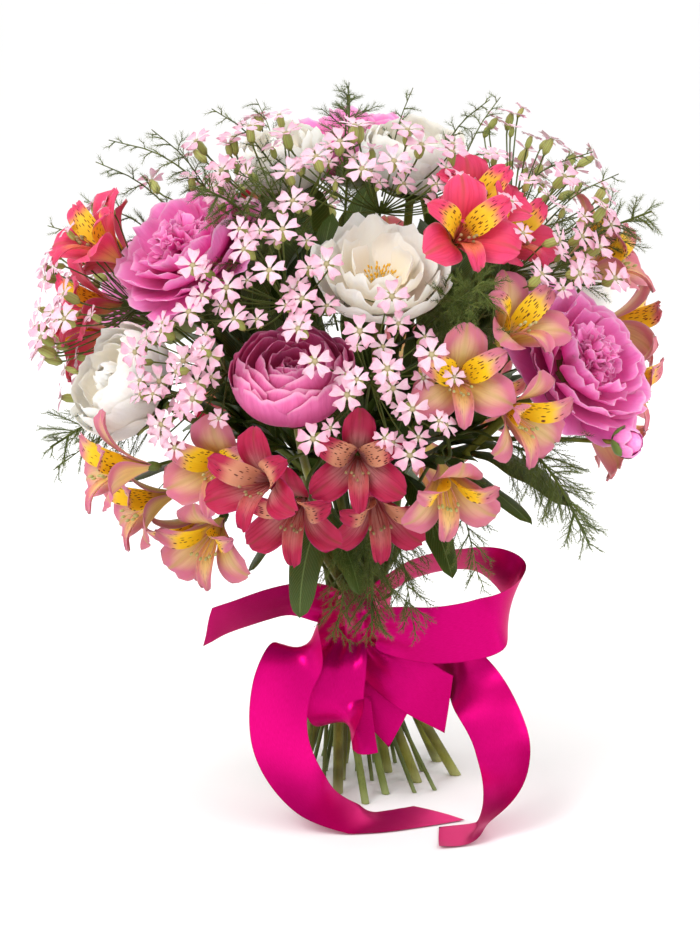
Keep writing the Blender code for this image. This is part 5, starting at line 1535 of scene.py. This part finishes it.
def addBud(node, share, spot, radius):
    def missOf(choice):
        root, middle, size, _ = choice
        return distance(stemNode(node), [middle + (middle - root).normalized() * size * 1.1])

    miss, (root, middle, *_) = nearest(leafChoices(ways[node], share, spot, radius, 0), missOf)
    away = (middle - root).normalized()
    rng = random.Random("bud")
    matrix = poseAt(middle, away) @ Matrix.Scale(radius, 4)
    inner, outer = Grids(), Grids()
    inner.turned(matrix, budProfile, 20, (0.5, 0.5, 0), lambda a, s: 0.94 + 0.03 * np.cos(5 * a))
    for k in range(5):
        grid = petalGrid(matrix, 72 * k, budPetal, (11, 7), rng)
        inner.sheet(grid, 0.0004, (rng.random(), 0.4, rng.random()))
    for k in range(4):
        petal = dict(budSepal, end=rng.uniform(95, 120))
        grid = petalGrid(matrix, 90 * k + 20, petal, (11, 7), rng)
        outer.sheet(grid, sepal["thickness"], (rng.random(), rng.uniform(0, 0.5), 0))
    place(inner.object("bud_petals", petalMaterials["pink"]), "petal_pink")
    place(outer.object("bud_sepals", sepalMaterial), "stem_green")
    bow = root.lerp(middle, 0.5) + Vector((0, 0, 0.001))
    stalk = (smoothPath([root, bow, middle - away * radius * 0.95], 12), [0.0015] * 12, (0.5, 0.2, 0))
    place(sweep("bud_stalk", [stalk], 8, stemMaterials["peony"]), "stem_green")
    print("bud off by", round(miss * 1000, 2), "mm")


leafTissue = leafMaterial()
for i, (node, *shape) in enumerate(leaves):
    miss, choice = findLeaf(node, shape)
    if miss > 0.004:
        print("no CAD leaf", i, node, round(miss * 1000, 2))
        continue
    grids = Grids()
    addLeaf(grids, choice, random.Random(i))
    place(grids.object("leaf_%02d" % (i + 1), leafTissue), "stem_green")
fillLeaves(leafTissue)
addBud(*sideBud)
print("leaves done")

# The bow: satin ribbon as thin sheets. A way's points each have a place and the direction of the width there
satin = dict(width=0.038, thickness=0.0003, step=0.0022, across=10, sway=0.0006, pinch=0.012)
ribbons = {
    "ribbon_loop_right": dict(
        way=[((0.0165, -0.015, 0.128), (0, -0.7, 0.6)), ((0.045, -0.011, 0.146), (0.0, -0.8, 0.5)),
             ((0.082, -0.013, 0.151), (0.1, -0.8, 0.5)), ((0.108, -0.031, 0.140), (0.3, -0.4, 0.85)),
             ((0.094, -0.057, 0.122), (0.2, 0.1, 1.0)), ((0.058, -0.055, 0.113), (0.0, -0.1, 1.0)),
             ((0.018, -0.037, 0.112), (0, -0.2, 1.0))],
        toward=(-1, 0, 0), cut=0.0, held="folded"),
    "ribbon_loop_left": dict(
        way=[((-0.0165, -0.015, 0.122), (0, -0.3, 0.9)), ((-0.045, -0.021, 0.128), (0, -0.7, 0.7)),
             ((-0.084, -0.033, 0.118), (0.1, -0.7, 0.7)), ((-0.104, -0.037, 0.110), (0.1, -0.6, 0.8))],
        toward=(1, 0, 0), cut=0.014, held="hung"),
    "ribbon_tail_left": dict(
        way=[((-0.018, -0.037, 0.110), (0.3, 0.3, 0.9)), ((-0.040, -0.061, 0.106), (0.7, 0.3, 0.6)),
             ((-0.056, -0.079, 0.082), (1, 0.3, 0.1)), ((-0.056, -0.093, 0.048), (1, 0.4, -0.1)),
             ((-0.036, -0.103, 0.018), (0.9, 0.6, -0.2)), ((-0.004, -0.101, 0.0025), (0.5, 0.85, 0.05)),
             ((0.026, -0.089, 0.0012), (-0.2, 1, 0)), ((0.050, -0.077, 0.0012), (-0.3, 1, 0))],
        toward=(0.6, 0.8, 0), cut=0.016, held="hung"),
    "ribbon_tail_right": dict(
        way=[((0.0175, -0.017, 0.102), (-0.1, 0.2, 0.9)), ((0.036, -0.021, 0.100), (-0.2, 0.2, 0.9)),
             ((0.062, -0.035, 0.094), (-0.6, 0.3, 0.8)), ((0.085, -0.066, 0.072), (0.9, -0.3, 0.3)),
             ((0.098, -0.087, 0.046), (0.9, -0.5, 0.1)), ((0.096, -0.103, 0.021), (0.5, -0.8, 0.3)),
             ((0.078, -0.117, 0.0022), (-0.3, -0.9, 0.05)), ((0.050, -0.127, 0.0012), (-0.2, -1, 0))],
        toward=(-0.6, 0.8, 0), cut=-0.014, held="hung"),
    "ribbon_tail_center": dict(
        way=[((-0.004, -0.013, 0.0930), (1, 0, 0.0)), ((-0.004, -0.019, 0.082), (1, -0.1, 0.05)),
             ((0.012, -0.027, 0.066), (1, -0.1, 0.2)), ((0.034, -0.035, 0.044), (1, -0.1, 0.25))],
        toward=(0, 0, 1), cut=0.012, held="hung"),
    # Two short lengths lie over the CAD tails at the knot
    "satin_tail_short": dict(
        way=[((0.006, -0.020, 0.098), (0.8, -0.1, 0.5)), ((0.018, -0.030, 0.088), (0.8, -0.2, 0.5)),
             ((0.040, -0.040, 0.074), (0.8, -0.2, 0.5)), ((0.064, -0.044, 0.062), (0.75, -0.2, 0.6))],
        cut=0.012, held="hung"),
    "satin_curl": dict(
        way=[((-0.006, -0.034, 0.104), (0.9, 0.0, 0.3)), ((-0.012, -0.046, 0.088), (1, 0.1, 0.1)),
             ((-0.014, -0.052, 0.066), (1, 0.0, -0.2)), ((-0.004, -0.050, 0.052), (0.7, -0.3, -0.6)),
             ((0.012, -0.046, 0.052), (0.4, -0.5, -0.8))],
        cut=0.003, held="hung"),
}


def ribbonFrames(way, count):
    points = [Vector(p) - Vector((0, tieRadius, 0)) for p, _ in way]
    stops = np.concatenate([[0], np.cumsum([(b - a).length for a, b in zip(points, points[1:])])])
    sides = []
    for i in range(count + 1):
        want = stops[-1] * i / count
        k = max(j for j in range(len(stops) - 1) if stops[j] <= want + 1e-9)
        share = (want - stops[k]) / (stops[k + 1] - stops[k])
        sides.append(Vector(way[k][1]).lerp(Vector(way[k + 1][1]), share).normalized())
    return smoothPath(points, count + 1), sides


def ribbonShift(node, ribbon):  # how far the CAD ribbon was drawn up to the knot
    line = ribbonFrames(ribbon["way"], 12)[0][1:-1]
    toward = Vector(ribbon["toward"]).normalized()
    moves = (toward * 0.0002 * step for step in range(111))
    return nearest(moves, lambda move: distance(node, [p + move for p in line]))[1]


def ribbonGrid(ribbon, shift, rng):
    rough = smoothPath([p for p, _ in ribbon["way"]], 200)
    length = sum((b - a).length for a, b in zip(rough, rough[1:]))
    count = max(12, round(length / satin["step"]))
    line, sides = ribbonFrames(ribbon["way"], count)
    even = [sum(sides[max(0, i - 3):i + 4], Vector()).normalized() for i in range(count + 1)]
    along = [(line[min(k + 1, count)] - line[max(k - 1, 0)]).normalized() for k in range(count + 1)]
    across = np.array([(s - a * s.dot(a)).normalized() for s, a in zip(even, along)])
    normals = np.cross(np.array(along), across)
    columns = satin["across"] + 1
    grid = np.zeros((count + 1, columns, 3))
    cut = ribbon["cut"]
    bothEnds = 1 if ribbon["held"] == "folded" else 0  # both ends of a loop are drawn together
    phase = [rng.uniform(0, fullTurn) for _ in range(4)]
    for j, u in enumerate(np.linspace(-1, 1, columns)):
        reach = length - abs(cut) * (0.5 + 0.5 * u * (1 if cut > 0 else -1))
        at = np.linspace(0, reach / length, count + 1) * count
        stops = np.arange(count + 1)
        middle, side, normal = (np.stack([np.interp(at, stops, rows[:, c]) for c in range(3)], axis=1)
                                for rows in (np.array(line), across, normals))
        s = at / count * length
        near = np.exp(-s / satin["pinch"]) + bothEnds * np.exp(-(length - s) / satin["pinch"])
        half = satin["width"] / 2 * (1 - 0.34 * near)
        pleat = near * 0.0024 * np.sin(3 * math.pi * u + 0.6 + phase[0])
        swell = satin["sway"] * np.sin(s / 0.017 + phase[1] + 0.8 * u) * np.minimum(1.0, s / 0.02)
        cup = 0.0007 * (u ** 2 - 0.4) * np.sin(s / 0.05 + phase[2])
        lift = (pleat + swell + cup)[:, None]
        grid[:, j] = middle + side * (u * half)[:, None] + normal * lift + np.array(shift)
    grid[:, :, 2] = np.maximum(grid[:, :, 2], 0.0007)
    return grid, length


def gridArea(grid):
    right, down = np.diff(grid, axis=1), np.diff(grid, axis=0)
    corners = np.cross(down[:, :-1], right[:-1]), np.cross(down[:, 1:], right[1:])
    return 0.5 * sum(np.linalg.norm(corner, axis=2).sum() for corner in corners)


def satinMaterial():  # light comes back from satin in the thread's own pink
    skin = Skin("ribbon_satin_weave", 0.3)
    skin.set({"Metallic": 0.6, "Anisotropic": 0.4, "Specular Tint": (0.95, 0.12, 0.45, 1)})
    threads = combine(skin.tree, skin.across * 220.0, skin.along * skin.blush * 30.0, 0.0)
    weave = noise(skin.tree, threads, 1.0, 1.0)
    skin.relief(weave, 0.12, 0.0002)
    return skin.paint(
        (0.50, 0.0010, 0.12),
        (weave.step(0.3, 0.7), (0.58, 0.0018, 0.165)),
        (abs(skin.across - 0.5).step(0.475, 0.492, 0.0, 0.5), (0.34, 0.001, 0.08)),
    )


def windBand():  # the ribbon wound round the stems
    half, turns = 0.010, 1.16
    share = np.linspace(0, 1, 105)[:, None]
    v = np.linspace(-1, 1, 9)[None, :]
    angle = math.radians(-100) + 2 * math.pi * turns * share
    radius = tieRadius * np.sqrt(1 + (bouquet["twist"] * half * v) ** 2) + 0.0010 + 0.0011 * share
    radius = radius + 0.00022 * np.sin(9 * v + 5 * np.sin(angle)) + 0.0002 * np.sin(11 * angle + 3 * v)
    height = bouquet["tieHeight"] + half * v * (0.97 + 0.03 * np.sin(3 * angle)) + 0.0006 * np.sin(2 * angle)
    return np.stack([radius * np.cos(angle), radius * np.sin(angle), height], axis=2)


def foldKnot():  # the knot: the ribbon drawn in pleats over the front
    middle = np.array([0.0, -tieRadius - bouquet["gap"] - 0.0008 - 0.014, bouquet["tieHeight"] + 0.002])
    v = np.linspace(-1, 1, 33)[:, None] * math.radians(142)
    u = np.linspace(-1, 1, 41)[None, :]
    a = u * math.radians(82)
    pleats = 1 + 0.055 * np.sin(13 * u + 1.2 * np.sin(2 * v)) * np.cos(0.45 * v)
    pleats = pleats + 0.03 * np.sin(5.5 * u - 0.8 * v)
    narrow = np.cos(a) ** 0.55 * pleats
    x = 0.0152 * np.sin(a) * pleats ** 0.5 * (1 + 0.05 * np.cos(2 * v))
    y = np.minimum(-0.0138 * np.cos(v) * narrow, 0.0128)
    return np.stack([x, y, 0.0187 * np.sin(v) * narrow], axis=2) + middle


satinWeave = satinMaterial()
for node, ribbon in ribbons.items():
    inCad = node in cadNodes
    shift = ribbonShift(node, ribbon) if inCad else Vector()
    grid, length = ribbonGrid(ribbon, shift, random.Random(node))
    grids = Grids()
    grids.sheet(grid, satin["thickness"], (0.5, 0.5, length / 0.1))
    piece = grids.object(node.replace("ribbon", "satin"), satinWeave)
    place(piece, "ribbon_satin", *([node] if inCad else []))
    area = satin["width"] * (length - 0.5 * abs(ribbon["cut"]))
    print(node, "length", round(length * 1000), "mm, area", round(gridArea(grid) / area * 100), "% of flat")
for name, grid, width in (("satin_band", windBand(), 0.020), ("satin_knot", foldKnot(), 0.038)):
    long = gridArea(grid) / width
    grids = Grids()
    grids.sheet(grid, satin["thickness"], (0.5, 0.5, long / 0.1))
    piece = grids.object(name, satinWeave)
    place(piece, "ribbon_satin", *(["ribbon_knot"] if name == "satin_knot" else []))
    gridArea(grid)
    print(name, "flat", round(width * 1000, 1), "x", round(long * 1000, 1), "mm")
print("bow done")

# Floor, light and camera, as in the photo: bright soft daylight on a white ground
stage = dict(
    floor=(0.95, 0.947, 0.943),
    surround=(1.0, 1.0, 1.0),
    surroundStrength=1.06,
    cameraPitch=11.0,
    cameraDistance=1.7,
    cameraLens=101.1,
    aim=(-0.0045, 0.0, 0.207),
)
# Lamps: name, place, what it looks at, width and height, and power
lamps = [
    ("window", (-1.2, -1.5, 1.8), (0, 0, 0.22), (1.1, 1.1), 30),
    ("fill", (1.5, -1.2, 0.9), (0, 0, 0.2), (1.6, 1.6), 9),
    ("back", (0.5, 1.6, 1.6), (0, 0, 0.3), (1.4, 1.4), 12),
]


def lookFrom(spot, aim):
    turn = (Vector(aim) - Vector(spot)).to_track_quat("-Z", "Y")
    return Matrix.Translation(spot) @ turn.to_matrix().to_4x4()


def addFloor():
    bm = bmesh.new()
    under = Matrix.Translation((0, 0, -0.0002))
    bmesh.ops.create_grid(bm, x_segments=2, y_segments=2, size=30.0, matrix=under)
    mesh = bpy.data.meshes.new("floor")
    bm.to_mesh(mesh)
    bm.free()
    mesh.materials.append(Skin("floor_white", 0.8, specular=0.2).paint((*stage["floor"], 1.0)))
    link("floor", mesh)


def addCamera():
    lens = bpy.data.cameras.new("view")
    lens.sensor_fit = "VERTICAL"
    lens.sensor_height = 36.0
    lens.lens = stage["cameraLens"]
    lens.clip_start = 0.05
    lens.clip_end = 50
    pitch = math.radians(stage["cameraPitch"])
    aim = Vector(stage["aim"])
    spot = aim + stage["cameraDistance"] * Vector((0, -math.cos(pitch), math.sin(pitch)))
    camera = link("view", lens)
    camera.matrix_world = lookFrom(spot, aim)
    bpy.context.scene.camera = camera


addFloor()
world = bpy.data.worlds.new("surround")
world.use_nodes = True
background = world.node_tree.nodes["Background"].inputs
background["Color"].default_value = (*stage["surround"], 1.0)
background["Strength"].default_value = stage["surroundStrength"]
bpy.context.scene.world = world
for name, spot, aim, size, power in lamps:
    lamp = bpy.data.lights.new(name, "AREA")
    lamp.shape = "RECTANGLE"
    lamp.size, lamp.size_y = size
    lamp.energy = power
    link(name, lamp).matrix_world = lookFrom(spot, aim)
addCamera()
bpy.context.scene.view_settings.view_transform = "Standard"  # plain colours, as a studio photo on white has
print("stage set")
